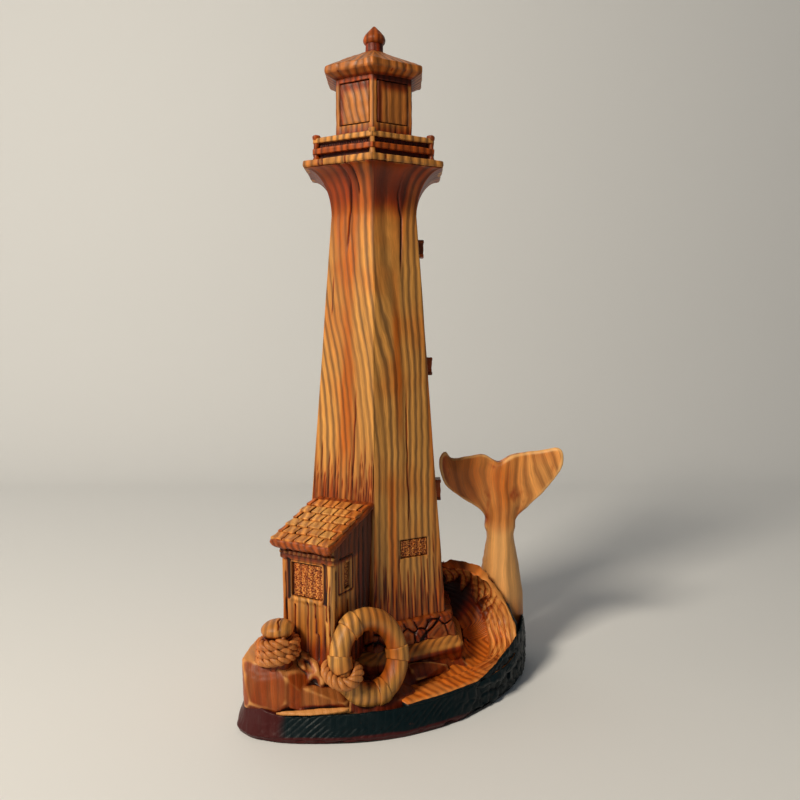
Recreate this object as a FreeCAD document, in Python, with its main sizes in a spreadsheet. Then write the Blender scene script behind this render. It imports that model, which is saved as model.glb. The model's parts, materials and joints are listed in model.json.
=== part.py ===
import FreeCAD, Part
import math
import os
import Sketcher
from FreeCAD import Placement, Rotation, Vector

# Souvenir lighthouse cast in wood-effect resin: a hexagonal tower on a rock and wave base,
# with a lean-to cottage, a life ring, a rope bollard and a whale's tail.
#
# Frame: millimetres, +Z up, origin on the resting plane at the tower's axis.  The tower's
# section has a corner at -Y (the front), so its faces look out at -30, 30, 90 ... degrees.
# A "face frame" is the row frame turned about Z by one of those angles: there the face looks
# out along -Y, X runs along the face and Z is up.

# ------------------------------------------------------------------ driving dimensions
DIMENSIONS = [
    ("corner_ratio", 1.154701),       # a hexagon's corner radius over its apothem
    # base
    ("pad_thick", 1.0),
    ("skirt_top", 10.0),
    ("skirt_draft", 0.94),            # the skirt's top outline over its bottom outline
    ("pad_inset", 0.975),
    ("rock_top", 25.2),
    ("front_rock_top", 16.0),
    ("shore_top", 19.0),
    ("ledge_corner", 46.5),
    ("ledge_round", 3.0),
    ("footing_top", 35.3),
    ("footing_apothem", 34.2),
    ("stone_depth", 3.6),
    ("stone_gap", 0.5),
    # tower
    ("foot_apothem", 32.4),
    ("neck_apothem", 19.0),
    ("neck_level", 214.0),
    ("flare_height", 20.0),
    ("flare_out", 11.7),
    ("tower_window_left", -3.6),
    ("tower_window_width", 14.1),
    ("tower_window_bottom", 62.3),
    ("tower_window_height", 8.2),
    ("tower_window_depth", 2.2),
    ("pane_thick", 0.8),
    # side windows
    ("side_window_width", 8.0),
    ("side_window_proud", 2.0),
    ("side_window_border", 1.5),
    # gallery
    ("deck_level", 234.0),
    ("deck_thick", 3.1),
    ("deck_corner", 35.5),
    ("post_ring", 29.0),
    ("post_radius", 1.6),
    ("post_height", 9.6),
    ("post_cap_radius", 2.1),
    ("post_cap_height", 1.8),
    ("rail_corner", 30.2),
    ("rail_width", 2.0),
    ("rail_mid_bottom", 240.0),
    ("rail_mid_height", 2.6),
    ("rail_top_bottom", 244.8),
    ("rail_top_height", 2.3),
    ("parapet_corner", 28.4),
    ("parapet_width", 1.6),
    ("parapet_height", 7.7),
    # lantern
    ("lantern_apothem", 16.75),
    ("lantern_height", 36.7),
    ("panel_bottom", 16.2),
    ("panel_height", 18.3),
    ("panel_width", 15.6),
    ("panel_recess", 1.2),
    ("panel_gap", 0.9),
    ("panel_thick", 0.8),
    ("roof_corner", 24.8),
    ("roof_soffit_rise", 1.6),
    ("roof_rim", 2.6),
    ("roof_slope_height", 10.0),
    ("roof_top_corner", 4.6),
    ("stem_radius", 3.8),
    ("stem_height", 4.0),
    ("finial_radius", 4.9),
    ("finial_height", 8.0),
    # annex, in the face frame at -30 degrees
    ("annex_turn", -30.0),
    ("annex_left", -10.4),
    ("annex_width", 26.5),
    ("annex_front", 58.3),
    ("annex_back", 26.0),
    ("annex_window_left", -5.5),
    ("annex_window_width", 15.8),
    ("annex_window_bottom", 52.5),
    ("annex_window_height", 14.6),
    ("annex_window_depth", 1.8),
    ("annex_side_near", 54.3),
    ("annex_side_width", 10.4),
    ("annex_side_bottom", 55.5),
    ("annex_side_height", 13.5),
    ("roof_pitch", 21.0),
    ("eave_front", 60.6),
    ("eave_bottom", 73.6),
    ("slab_thick", 2.6),
    ("slab_left", -13.5),
    ("slab_width", 30.2),
    ("slab_length", 38.0),
    ("shingle_thick", 1.5),
    ("shingle_course", 5.2),
    ("shingle_gap", 0.4),
    ("shingle_overhang", 0.6),
    ("fascia_thick", 1.2),
    # life ring
    ("ring_turn", 30.0),
    ("ring_lean", 15.0),
    ("ring_centre_x", -1.0),
    ("ring_centre_y", -57.0),
    ("ring_major", 15.0),
    ("ring_minor", 4.85),
    ("band_proud", 0.5),
    ("band_angle", 24.0),
    ("wrap_radius", 1.9),
    # bollard
    ("bollard_x", -38.8),
    ("bollard_y", -56.2),
    ("bollard_radius", 5.9),
    ("bollard_height", 11.8),
    ("rope_radius", 1.85),
    ("cap_radius", 7.0),
    ("cap_height", 8.4),
    # wave and whale's tail
    ("wave_floor", 18.0),
    ("tongue_top", 14.0),
    ("crest_front", -6.0),
    ("crest_depth", 9.8),
    ("tail_x", 60.5),
    ("tail_y", 13.0),
    ("fluke_base", 76.0),
    ("fluke_thick", 6.0),
]

doc = FreeCAD.newDocument("lighthouse_ornament")
sheet = doc.addObject("Spreadsheet::Sheet", "Dims")
for row, (alias, value) in enumerate(DIMENSIONS, start=1):
    sheet.set(f"A{row}", alias)
    sheet.set(f"B{row}", str(value))
    sheet.setAlias(f"B{row}", alias)
doc.recompute()

# The base's outline on the resting plane, left of the front corner first.
BASE_OUTLINE = [
    (-53, -62), (-48, -67), (-40, -70.5), (-24, -72.5), (0, -71), (26, -61), (48, -43.5),
    (64, -21), (72, -2), (73, 18), (62, 38), (40, 50), (10, 54), (-20, 50), (-44, 34),
    (-56, 8), (-57, -22), (-56, -44), (-54.8, -56),
]
BASE_MIDDLE = Vector(6, -8, 0)

# Each side window's bottom edge and height.
SIDE_WINDOWS = [(83.7, 9.5), (142.6, 7.9), (196.7, 7.6)]

# The tail stem's oval sections: level, shift in x, half width and half depth.
TAIL_SECTIONS = [(18.0, 0.1, 11.5, 8.8), (50.0, 0.1, 8.9, 6.8), (68.0, -0.1, 6.9, 5.6),
                 (76.0, 0.4, 8.4, 3.4)]

nodes = []


def size(alias):
    """The sheet's value of one driving dimension."""
    return float(sheet.get(alias))


def bind(thing, **formulas):
    """Binds properties to formulas in the sheet's aliases; __ in a name stands for a dot."""
    for name, formula in formulas.items():
        thing.setExpression(name.replace("__", "."), formula)


def node(thing, label):
    """Registers a document object as a sub-part under its node name."""
    thing.Label = label
    nodes.append(thing)
    return thing


def in_face(thing, turn, x, y, z, lean="0"):
    """Places a thing in a tower face's frame, tipped about that frame's X by lean degrees."""
    bind(thing, Placement=(
        f"placement(vector(0; 0; 0); rotation(vector(0; 0; 1); {turn}))"
        f" * placement(vector({x}; {y}; {z}); rotation(vector(1; 0; 0); {lean}))"))


def box(name, length, width, height):
    """A block with bound sides."""
    block = doc.addObject("Part::Box", name)
    bind(block, Length=length, Width=width, Height=height)
    return block


def hexagon(name, corner, bottom, height):
    """An upright hexagonal prism about the tower's axis with a corner at -Y."""
    prism = doc.addObject("Part::Prism", name)
    prism.Polygon = 6
    prism.Placement = Placement(Vector(), Rotation(Vector(0, 0, 1), 30))
    bind(prism, Circumradius=corner, Height=height, Placement__Base__z=bottom)
    return prism


def hexagon_outline(name, corner, level):
    """A level hexagonal wire, a section for a loft."""
    outline = doc.addObject("Part::RegularPolygon", name)
    outline.Polygon = 6
    outline.Placement = Placement(Vector(), Rotation(Vector(0, 0, 1), 30))
    bind(outline, Circumradius=corner, Placement__Base__z=level)
    return outline


def loft(name, sections, ruled=True):
    """A solid through closed sections."""
    solid = doc.addObject("Part::Loft", name)
    solid.Sections = sections
    solid.Solid = True
    solid.Ruled = ruled
    return solid


def cut(name, base, *tools):
    """A base less one or more tools."""
    result = base
    for number, tool in enumerate(tools):
        step = doc.addObject("Part::Cut", f"{name}_cut_{number}")
        step.Base = result
        step.Tool = tool
        result = step
    return result


def group(name, members):
    """Separate solids that share one node."""
    bundle = doc.addObject("Part::Compound", name)
    bundle.Links = members
    return bundle


def solid_feature(name, shape):
    """A free-form solid that no parametric feature suits."""
    feature = doc.addObject("Part::Feature", name)
    feature.Shape = shape
    return feature


def closed_curve(points, level, scale=1.0):
    """A smooth closed wire through plan points, drawn at one level about BASE_MIDDLE."""
    places = [BASE_MIDDLE + (Vector(x, y, 0) - BASE_MIDDLE) * scale for x, y in points]
    curve = Part.BSplineCurve()
    curve.interpolate([place + Vector(0, 0, level) for place in places], PeriodicFlag=True)
    return Part.Wire(curve.toShape())


def prism_of(points, bottom, top):
    """An upright solid over a plan polygon."""
    corners = [Vector(x, y, bottom) for x, y in points]
    face = Part.Face(Part.makePolygon(corners + corners[:1]))
    return face.extrude(Vector(0, 0, top - bottom))


def origin_plane(body, role):
    """One of a body's own origin planes."""
    return next(plane for plane in body.Origin.OriginFeatures if plane.Role == role)


def sketch_on(body, name, role):
    """An empty sketch on one of a body's origin planes."""
    sketch = body.newObject("Sketcher::SketchObject", name)
    sketch.AttachmentSupport = [(origin_plane(body, role), "")]
    sketch.MapMode = "FlatFace"
    return sketch


def fixed_loop(sketch, places):
    """Draws a closed polygon in a sketch, joined corner to corner."""
    count = len(places)
    for index, (x, y) in enumerate(places):
        far_x, far_y = places[(index + 1) % count]
        sketch.addGeometry(Part.LineSegment(Vector(x, y, 0), Vector(far_x, far_y, 0)))
    for index in range(count):
        sketch.addConstraint(Sketcher.Constraint("Coincident", index, 2, (index + 1) % count, 1))


def hexagon_sketch(body, name, corner, first_angle, formula):
    """A regular hexagon on a body's level plane, its corner radius bound to the sheet."""
    sketch = sketch_on(body, name, "XY_Plane")
    angles = [math.radians(60 * step + first_angle) for step in range(6)]
    fixed_loop(sketch, [(corner * math.cos(a), corner * math.sin(a)) for a in angles])
    rim = sketch.addGeometry(Part.Circle(Vector(), Vector(0, 0, 1), corner), True)
    sketch.addConstraint(Sketcher.Constraint("Coincident", rim, 3, -1, 1))
    for edge in range(6):
        sketch.addConstraint(Sketcher.Constraint("PointOnObject", edge, 1, rim))
        if edge:
            sketch.addConstraint(Sketcher.Constraint("Equal", 0, edge))
    axis = -1 if first_angle == 0 else -2
    sketch.addConstraint(Sketcher.Constraint("PointOnObject", 0, 1, axis))
    index = sketch.addConstraint(Sketcher.Constraint("Radius", rim, corner))
    sketch.renameConstraint(index, "corner")
    sketch.setExpression("Constraints.corner", formula)
    return sketch


def bound_distance(sketch, kind, edge, point, value, name, formula):
    """Adds a named distance between the origin and an edge's end, bound to the sheet."""
    ends = (-1, 1, edge, point) if value > 0 else (edge, point, -1, 1)
    index = sketch.addConstraint(Sketcher.Constraint(kind, *ends, abs(value)))
    sketch.renameConstraint(index, name)
    sketch.setExpression(f"Constraints.{name}", formula)


# ------------------------------------------------------------------ base
def make_base():
    """The felt pad and the dark, battered skirt that everything stands on."""
    pad_thick = size("pad_thick")
    inset = size("pad_inset")
    pad = Part.makeLoft([closed_curve(BASE_OUTLINE, 0, inset),
                         closed_curve(BASE_OUTLINE, pad_thick, inset)], True)
    node(solid_feature("felt_pad_solid", pad), "felt_pad")
    skirt = Part.makeLoft([closed_curve(BASE_OUTLINE, pad_thick),
                           closed_curve(BASE_OUTLINE, size("skirt_top"), size("skirt_draft"))],
                          True)
    node(solid_feature("base_skirt_solid", skirt), "base_skirt")


def make_ledge():
    """The hexagonal step with rounded corners under the stone footing."""
    body = doc.addObject("PartDesign::Body", "ledge_body")
    sketch = hexagon_sketch(body, "ledge_sketch", size("ledge_corner"), -90,
                            "Dims.ledge_corner")
    pad = body.newObject("PartDesign::Pad", "ledge_pad")
    pad.Profile = sketch
    bind(pad, Length="Dims.rock_top - Dims.skirt_top")
    doc.recompute()
    fillet = body.newObject("PartDesign::Fillet", "ledge_fillet")
    upright = [f"Edge{number}" for number, edge in enumerate(pad.Shape.Edges, start=1)
               if abs(edge.tangentAt(edge.FirstParameter).z) > 0.99]
    fillet.Base = (pad, upright)
    bind(fillet, Radius="Dims.ledge_round")
    bind(body, Placement__Base__z="Dims.skirt_top")
    return node(body, "footing_ledge")


def make_rocks(ledge):
    """The faceted rock under the annex and bollard, and the low rock in front of it."""
    plan = [(-56, -24), (-55, -48), (-51, -60), (-41, -66.5), (-25, -66), (-20, -60),
            (-14.6, -58), (0, -40), (0, 0), (-30, 0)]
    mass = solid_feature("rock_mass", prism_of(plan, size("skirt_top"), size("rock_top")))
    node(cut("rock_bed", mass, ledge), "rock_bed")
    rear = [(-55.5, -23.8), (-53, 6), (-42, 30), (-20, 45), (10, 48.5), (19.9, 46), (19.9, 0),
            (-30.1, 0)]
    shore = solid_feature("shore_mass", prism_of(rear, size("skirt_top"), size("shore_top")))
    node(cut("rear_rocks", shore, ledge, nodes[-1]), "rear_rocks")
    low = [(-25, -66.1), (-22, -68.5), (-15.5, -68.5), (-14.8, -62), (-20, -60.1)]
    front = prism_of(low, size("skirt_top"), size("front_rock_top"))
    node(solid_feature("front_rock_solid", front), "front_rock")


def make_footing():
    """The footing's core and the rough stones laid round it in two courses."""
    core = node(hexagon("core", "Dims.footing_apothem * Dims.corner_ratio", "Dims.rock_top",
                        "Dims.footing_top - Dims.rock_top"), "footing_core")
    half = size("footing_apothem") * size("corner_ratio") / 2
    courses = [(0.0, 0.54, (0.0, 0.27, 0.62, 1.0)), (0.54, 1.0, (0.0, 0.4, 0.72, 1.0))]
    annex_left = size("annex_left")
    annex_right = annex_left + size("annex_width")
    stones = []
    for face in range(6):
        turn = 60 * face - 30
        for low, high, joints in courses:
            for start, end in zip(joints, joints[1:]):
                left = (2 * start - 1) * half
                right = (2 * end - 1) * half
                if face == 0 and left < annex_right and right > annex_left:
                    continue
                stone = box(f"stone_{len(stones)}", f"{right - left} - Dims.stone_gap",
                            "Dims.stone_depth",
                            f"(Dims.footing_top - Dims.rock_top) * {high - low}"
                            " - Dims.stone_gap")
                in_face(stone, turn, f"{left} + Dims.stone_gap / 2",
                        "-Dims.footing_apothem - Dims.stone_depth",
                        f"Dims.rock_top + (Dims.footing_top - Dims.rock_top) * {low}")
                stones.append(stone)
    node(group("stones", stones), "footing_stones")
    return core


# ------------------------------------------------------------------ tower
def face_apothem(level):
    """Formula for the tower face's distance from the axis at a level."""
    slope = "(Dims.foot_apothem - Dims.neck_apothem) / (Dims.neck_level - Dims.footing_top)"
    return f"(Dims.foot_apothem - {slope} * ({level} - Dims.footing_top))"


def make_tower():
    """The tapering shaft, its hollow flare under the deck and its recessed window."""
    foot = hexagon_outline("tower_foot", "Dims.foot_apothem * Dims.corner_ratio",
                           "Dims.footing_top")
    taper = doc.addObject("Part::Extrusion", "shaft_taper")
    taper.Base = foot
    taper.DirMode = "Custom"
    taper.Dir = Vector(0, 0, 1)
    taper.Solid = True
    bind(taper, LengthFwd="Dims.neck_level - Dims.footing_top",
         TaperAngle="-atan((Dims.foot_apothem - Dims.neck_apothem)"
                    " / (Dims.neck_level - Dims.footing_top))")
    steps = 6
    sections = []
    for step in range(steps + 1):
        angle = math.radians(90 * step / steps)
        corner = f"(Dims.neck_apothem + Dims.flare_out * {1 - math.cos(angle):.5f})"
        level = f"Dims.neck_level + Dims.flare_height * {math.sin(angle):.5f}"
        sections.append(hexagon_outline(f"flare_{step}", corner + " * Dims.corner_ratio", level))
    shaft = doc.addObject("Part::Fuse", "shaft")
    shaft.Base = taper
    shaft.Tool = loft("flare", sections)
    face = face_apothem("Dims.tower_window_bottom")
    recess = box("window_recess", "Dims.tower_window_width", "10", "Dims.tower_window_height")
    in_face(recess, "30", "Dims.tower_window_left", f"Dims.tower_window_depth - 10 - {face}",
            "Dims.tower_window_bottom")
    tower = node(cut("tower", shaft, recess), "tower_shaft")
    pane = box("tower_pane", "Dims.tower_window_width", "Dims.pane_thick",
               "Dims.tower_window_height")
    in_face(pane, "30", "Dims.tower_window_left",
            f"Dims.tower_window_depth - Dims.pane_thick - {face}", "Dims.tower_window_bottom")
    node(pane, "tower_window_pane")
    return tower


def make_side_windows():
    """Three small framed windows, one above another on the right-hand face."""
    batter = math.degrees(math.atan2(size("foot_apothem") - size("neck_apothem"),
                                     size("neck_level") - size("footing_top")))
    frames = []
    panes = []
    for number, (bottom, height) in enumerate(SIDE_WINDOWS):
        face = face_apothem(str(bottom))
        lean = str(-batter)
        block = box(f"side_block_{number}", "Dims.side_window_width", "Dims.side_window_proud",
                    f"{height}")
        in_face(block, "90", "-Dims.side_window_width / 2", f"-{face} - Dims.side_window_proud",
                f"{bottom}", lean)
        opening = box(f"side_opening_{number}",
                      "Dims.side_window_width - 2 * Dims.side_window_border", "10",
                      f"{height} - 2 * Dims.side_window_border")
        in_face(opening, "90", "Dims.side_window_border - Dims.side_window_width / 2",
                f"-{face} - Dims.side_window_proud - 2", f"{bottom} + Dims.side_window_border",
                lean)
        frames.append(cut(f"side_frame_{number}", block, opening))
        pane = box(f"side_pane_{number}",
                   "Dims.side_window_width - 2 * Dims.side_window_border", "Dims.pane_thick",
                   f"{height} - 2 * Dims.side_window_border")
        in_face(pane, "90", "Dims.side_window_border - Dims.side_window_width / 2",
                f"-{face} - Dims.pane_thick", f"{bottom} + Dims.side_window_border", lean)
        panes.append(pane)
    node(group("frames", frames), "side_window_frames")
    node(group("panes", panes), "side_window_panes")


# ------------------------------------------------------------------ gallery
def hexagon_band(name, corner, width, bottom, height):
    """A level hexagonal hoop."""
    outer = hexagon(f"{name}_outer", corner, bottom, height)
    inner = hexagon(f"{name}_inner", f"{corner} - {width} * Dims.corner_ratio", bottom, height)
    return cut(name, outer, inner)


def make_gallery():
    """The deck, its corner posts, two rails and the low parapet behind them."""
    node(hexagon("deck", "Dims.deck_corner", "Dims.deck_level", "Dims.deck_thick"),
         "gallery_deck")
    posts = []
    for corner in range(6):
        angle = math.radians(60 * corner - 90)
        stem = doc.addObject("Part::Cylinder", f"post_stem_{corner}")
        bind(stem, Radius="Dims.post_radius", Height="Dims.post_height")
        cap = doc.addObject("Part::Cone", f"post_cap_{corner}")
        bind(cap, Radius1="Dims.post_cap_radius", Radius2="Dims.post_radius",
             Height="Dims.post_cap_height")
        for piece, level in ((stem, "Dims.deck_level + Dims.deck_thick"),
                             (cap, "Dims.deck_level + Dims.deck_thick + Dims.post_height")):
            bind(piece, Placement__Base__x=f"Dims.post_ring * {math.cos(angle):.6f}",
                 Placement__Base__y=f"Dims.post_ring * {math.sin(angle):.6f}",
                 Placement__Base__z=level)
        post = doc.addObject("Part::Fuse", f"post_{corner}")
        post.Base = stem
        post.Tool = cap
        posts.append(post)
    bundle = group("posts", posts)
    node(bundle, "gallery_posts")
    for label, bottom, height in (("gallery_rail_mid", "rail_mid_bottom", "rail_mid_height"),
                                  ("gallery_rail_top", "rail_top_bottom", "rail_top_height")):
        hoop = hexagon_band(f"{label}_hoop", "Dims.rail_corner", "Dims.rail_width",
                            f"Dims.{bottom}", f"Dims.{height}")
        node(cut(f"{label}_fitted", hoop, bundle), label)
    wall = hexagon_band("parapet_hoop", "Dims.parapet_corner", "Dims.parapet_width",
                        "Dims.deck_level + Dims.deck_thick", "Dims.parapet_height")
    node(cut("parapet_fitted", wall, bundle, *rails_of_gallery()), "gallery_parapet")


def rails_of_gallery():
    """The two rails already made, which the parapet stands clear of."""
    return [thing for thing in nodes if thing.Label.startswith("gallery_rail")]


# ------------------------------------------------------------------ lantern and roof
def make_lantern():
    """The lantern room with a sunk panel in each of its six faces."""
    body = doc.addObject("PartDesign::Body", "lantern_body")
    plan = hexagon_sketch(body, "lantern_plan", size("lantern_apothem") * size("corner_ratio"),
                          0, "Dims.lantern_apothem * Dims.corner_ratio")
    pad = body.newObject("PartDesign::Pad", "lantern_pad")
    pad.Profile = plan
    bind(pad, Length="Dims.lantern_height")
    doc.recompute()
    solid_volume = pad.Shape.Volume

    front = sketch_on(body, "panel_sketch", "XZ_Plane")
    half = size("panel_width") / 2
    low = size("panel_bottom")
    high = low + size("panel_height")
    fixed_loop(front, [(-half, low), (half, low), (half, high), (-half, high)])
    for edge in (0, 2):
        front.addConstraint(Sketcher.Constraint("Horizontal", edge))
    for edge in (1, 3):
        front.addConstraint(Sketcher.Constraint("Vertical", edge))
    bound_distance(front, "DistanceX", 0, 2, half, "half_width_right",
                   "Dims.panel_width / 2")
    bound_distance(front, "DistanceX", 0, 1, -half, "half_width_left", "Dims.panel_width / 2")
    bound_distance(front, "DistanceY", 0, 2, low, "low_edge", "Dims.panel_bottom")
    bound_distance(front, "DistanceY", 2, 2, high, "high_edge",
                   "Dims.panel_bottom + Dims.panel_height")
    front.setExpression("AttachmentOffset.Base.z", "Dims.lantern_apothem")
    pocket = body.newObject("PartDesign::Pocket", "panel_pocket")
    pocket.Profile = front
    bind(pocket, Length="Dims.panel_recess")
    doc.recompute()
    pattern = body.newObject("PartDesign::PolarPattern", "panel_pattern")
    pattern.Originals = [pocket]
    pattern.Axis = (plan, ["N_Axis"])
    pattern.Angle = 360
    pattern.Occurrences = 6
    body.Tip = pattern
    body.Placement = Placement(Vector(), Rotation(Vector(0, 0, 1), 30))
    bind(body, Placement__Base__z="Dims.deck_level + Dims.deck_thick")
    doc.recompute()
    expected = 6 * size("panel_width") * size("panel_height") * size("panel_recess")
    removed = solid_volume - body.Shape.Volume
    if abs(removed - expected) > 0.02 * expected:
        raise RuntimeError(f"the panel pockets removed {removed:.1f}, not {expected:.1f} mm3")
    node(body, "lantern_room")

    panels = []
    for face in range(6):
        panel = box(f"lantern_panel_{face}", "Dims.panel_width - 2 * Dims.panel_gap",
                    "Dims.panel_thick", "Dims.panel_height - 2 * Dims.panel_gap")
        in_face(panel, f"{60 * face - 30}", "Dims.panel_gap - Dims.panel_width / 2",
                "Dims.panel_recess - Dims.panel_thick - Dims.lantern_apothem",
                "Dims.deck_level + Dims.deck_thick + Dims.panel_bottom + Dims.panel_gap")
        panels.append(panel)
    node(group("panels", panels), "lantern_panels")


def make_roof():
    """The hexagonal roof with its undercut soffit, and the finial on top of it."""
    base = "Dims.deck_level + Dims.deck_thick + Dims.lantern_height"
    rim = f"{base} + Dims.roof_soffit_rise"
    top = f"{rim} + Dims.roof_rim + Dims.roof_slope_height"
    sections = [
        hexagon_outline("roof_soffit", "Dims.lantern_apothem * Dims.corner_ratio", base),
        hexagon_outline("roof_rim_low", "Dims.roof_corner", rim),
        hexagon_outline("roof_rim_high", "Dims.roof_corner", f"{rim} + Dims.roof_rim"),
        hexagon_outline("roof_peak", "Dims.roof_top_corner", top),
    ]
    node(loft("roof_loft", sections), "lantern_roof")
    stem = doc.addObject("Part::Cylinder", "finial_stem_rod")
    bind(stem, Radius="Dims.stem_radius", Height="Dims.stem_height", Placement__Base__z=top)
    node(stem, "finial_stem")
    make_finial(f"{top} + Dims.stem_height")


def make_finial(level):
    """The onion-shaped ball: a half outline turned about the tower's axis."""
    radius = size("finial_radius")
    height = size("finial_height")
    foot = size("stem_radius") * 0.8
    body = doc.addObject("PartDesign::Body", "finial_body")
    sketch = sketch_on(body, "finial_sketch", "XZ_Plane")
    belly = Vector(radius, 0.36 * height, 0)
    shoulder = Vector(0.55 * radius, 0.78 * height, 0)
    sketch.addGeometry(Part.LineSegment(Vector(0, 0, 0), Vector(foot, 0, 0)))
    sketch.addGeometry(Part.Arc(Vector(foot, 0, 0), belly, shoulder))
    sketch.addGeometry(Part.LineSegment(shoulder, Vector(0, height, 0)))
    sketch.addGeometry(Part.LineSegment(Vector(0, height, 0), Vector(0, 0, 0)))
    turned = body.newObject("PartDesign::Revolution", "finial_turned")
    turned.Profile = sketch
    turned.ReferenceAxis = (sketch, ["V_Axis"])
    turned.Angle = 360
    bind(body, Placement__Base__z=level)
    node(body, "finial_ball")


# ------------------------------------------------------------------ annex
def make_annex(tower, core):
    """The lean-to cottage: walls with two windows, a pitched slab, shingles and fascia."""
    turn = "Dims.annex_turn"
    tangent = math.tan(math.radians(size("roof_pitch")))
    slab_rise = f"(Dims.eave_front - Dims.annex_front) * {tangent:.6f}"
    front_top = f"(Dims.eave_bottom + {slab_rise})"

    walls = box("annex_block", "Dims.annex_width", "Dims.annex_front - Dims.annex_back",
                f"{front_top} + 20 - Dims.rock_top")
    in_face(walls, turn, "Dims.annex_left", "-Dims.annex_front", "Dims.rock_top")
    above = box("annex_above", "Dims.slab_width + 20", "80", "60")
    in_face(above, turn, "Dims.slab_left - 10", "-Dims.eave_front", "Dims.eave_bottom",
            "Dims.roof_pitch")
    front_recess = box("annex_front_recess", "Dims.annex_window_width", "10",
                       "Dims.annex_window_height")
    in_face(front_recess, turn, "Dims.annex_window_left",
            "Dims.annex_window_depth - 10 - Dims.annex_front", "Dims.annex_window_bottom")
    side_recess = box("annex_side_recess", "10", "Dims.annex_side_width",
                      "Dims.annex_side_height")
    in_face(side_recess, turn, "Dims.annex_left + Dims.annex_width - Dims.annex_window_depth",
            "-Dims.annex_side_near", "Dims.annex_side_bottom")
    node(cut("annex_walls_block", walls, above, tower, core, front_recess, side_recess),
         "annex_walls")

    pane = box("annex_pane", "Dims.annex_window_width", "Dims.pane_thick",
               "Dims.annex_window_height")
    in_face(pane, turn, "Dims.annex_window_left",
            "Dims.annex_window_depth - Dims.pane_thick - Dims.annex_front",
            "Dims.annex_window_bottom")
    node(pane, "annex_window_pane")

    frame = box("annex_side_block", "Dims.annex_window_depth", "Dims.annex_side_width",
                "Dims.annex_side_height")
    in_face(frame, turn, "Dims.annex_left + Dims.annex_width - Dims.annex_window_depth",
            "-Dims.annex_side_near", "Dims.annex_side_bottom")
    light = box("annex_side_light", "10", "4.6", "Dims.annex_side_height - 3")
    in_face(light, turn, "Dims.annex_left + Dims.annex_width - Dims.pane_thick",
            "3.7 - Dims.annex_side_near", "Dims.annex_side_bottom + 1.5")
    node(cut("annex_side_frame", frame, light), "annex_side_window")

    slab = box("annex_slab", "Dims.slab_width", "Dims.slab_length", "Dims.slab_thick")
    in_face(slab, turn, "Dims.slab_left", "-Dims.eave_front", "Dims.eave_bottom",
            "Dims.roof_pitch")
    node(cut("annex_slab_fitted", slab, tower), "annex_roof")
    fascia = box("annex_fascia_board", "Dims.slab_width", "Dims.fascia_thick",
                 "Dims.slab_thick")
    in_face(fascia, turn, "Dims.slab_left",
            "-Dims.eave_front - Dims.fascia_thick * cos(Dims.roof_pitch)",
            "Dims.eave_bottom - Dims.fascia_thick * sin(Dims.roof_pitch)", "Dims.roof_pitch")
    node(fascia, "annex_fascia")
    make_shingles(turn)


def make_shingles(turn):
    """Six staggered courses of five shingles lying on the slab."""
    pitch = math.radians(size("roof_pitch"))
    lift = size("slab_thick")
    rows = 6
    columns = 5
    width = size("slab_width") / columns
    shingles = []
    for row in range(rows):
        offset = 0 if row % 2 else width / 2
        along = size("shingle_course") * row - size("shingle_overhang")
        out = math.cos(pitch) * along - math.sin(pitch) * lift
        rise = math.sin(pitch) * along + math.cos(pitch) * lift
        for column in range(-1, columns + 1):
            start = max(offset + width * column, 0)
            end = min(offset + width * (column + 1), size("slab_width"))
            if end - start < 1:
                continue
            shingle = box(f"shingle_{len(shingles)}", f"{end - start} - Dims.shingle_gap",
                          "Dims.shingle_course - Dims.shingle_gap", "Dims.shingle_thick")
            in_face(shingle, turn, f"Dims.slab_left + {start} + Dims.shingle_gap / 2",
                    f"-Dims.eave_front + {out:.4f}", f"Dims.eave_bottom + {rise:.4f}",
                    "Dims.roof_pitch")
            shingles.append(shingle)
    node(group("shingles", shingles), "annex_shingles")


# ------------------------------------------------------------------ life ring
def ring_frame(angle):
    """Formula for the life ring's frame: its axis along Z, turned by an angle about that."""
    rise = ("Dims.skirt_top + Dims.band_proud + Dims.ring_minor"
            " + Dims.ring_major * cos(Dims.ring_lean)")
    return (f"placement(vector(Dims.ring_centre_x; Dims.ring_centre_y; {rise});"
            " rotation(vector(0; 0; 1); Dims.ring_turn))"
            " * placement(vector(0; 0; 0); rotation(vector(1; 0; 0); 90 - Dims.ring_lean))"
            f" * placement(vector(0; 0; 0); rotation(vector(0; 0; 1); {angle}))")


def ring_torus(name, minor, start="0", sweep="360"):
    """Part of a torus about the life ring's axis, started at an angle round the ring."""
    torus = doc.addObject("Part::Torus", name)
    bind(torus, Radius1="Dims.ring_major", Radius2=minor, Angle3=sweep,
         Placement=ring_frame(start))
    return torus


def make_life_ring():
    """The leaning ring, four bands round it and the rope wound over its lower left side."""
    ring = node(ring_torus("ring", "Dims.ring_minor"), "life_ring")
    bands = []
    for number, middle in enumerate((118, 195, 275, 5)):
        sleeve = ring_torus(f"sleeve_{number}", "Dims.ring_minor + Dims.band_proud",
                            f"{middle} - Dims.band_angle / 2", "Dims.band_angle")
        bands.append(cut(f"band_{number}", sleeve, ring))
    node(group("bands", bands), "ring_bands")

    wraps = []
    for number, angle in enumerate((219, 232)):
        turn = doc.addObject("Part::Torus", f"wrap_{number}")
        bind(turn, Radius1="Dims.ring_minor + Dims.wrap_radius * 0.8",
             Radius2="Dims.wrap_radius", Placement=(
                 ring_frame(f"{angle}")
                 + " * placement(vector(Dims.ring_major; 0; 0); rotation(vector(1; 0; 0); 90))"))
        wraps.append(cut(f"wrap_fitted_{number}", turn, ring))
    node(group("wraps", wraps), "ring_rope")


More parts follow.
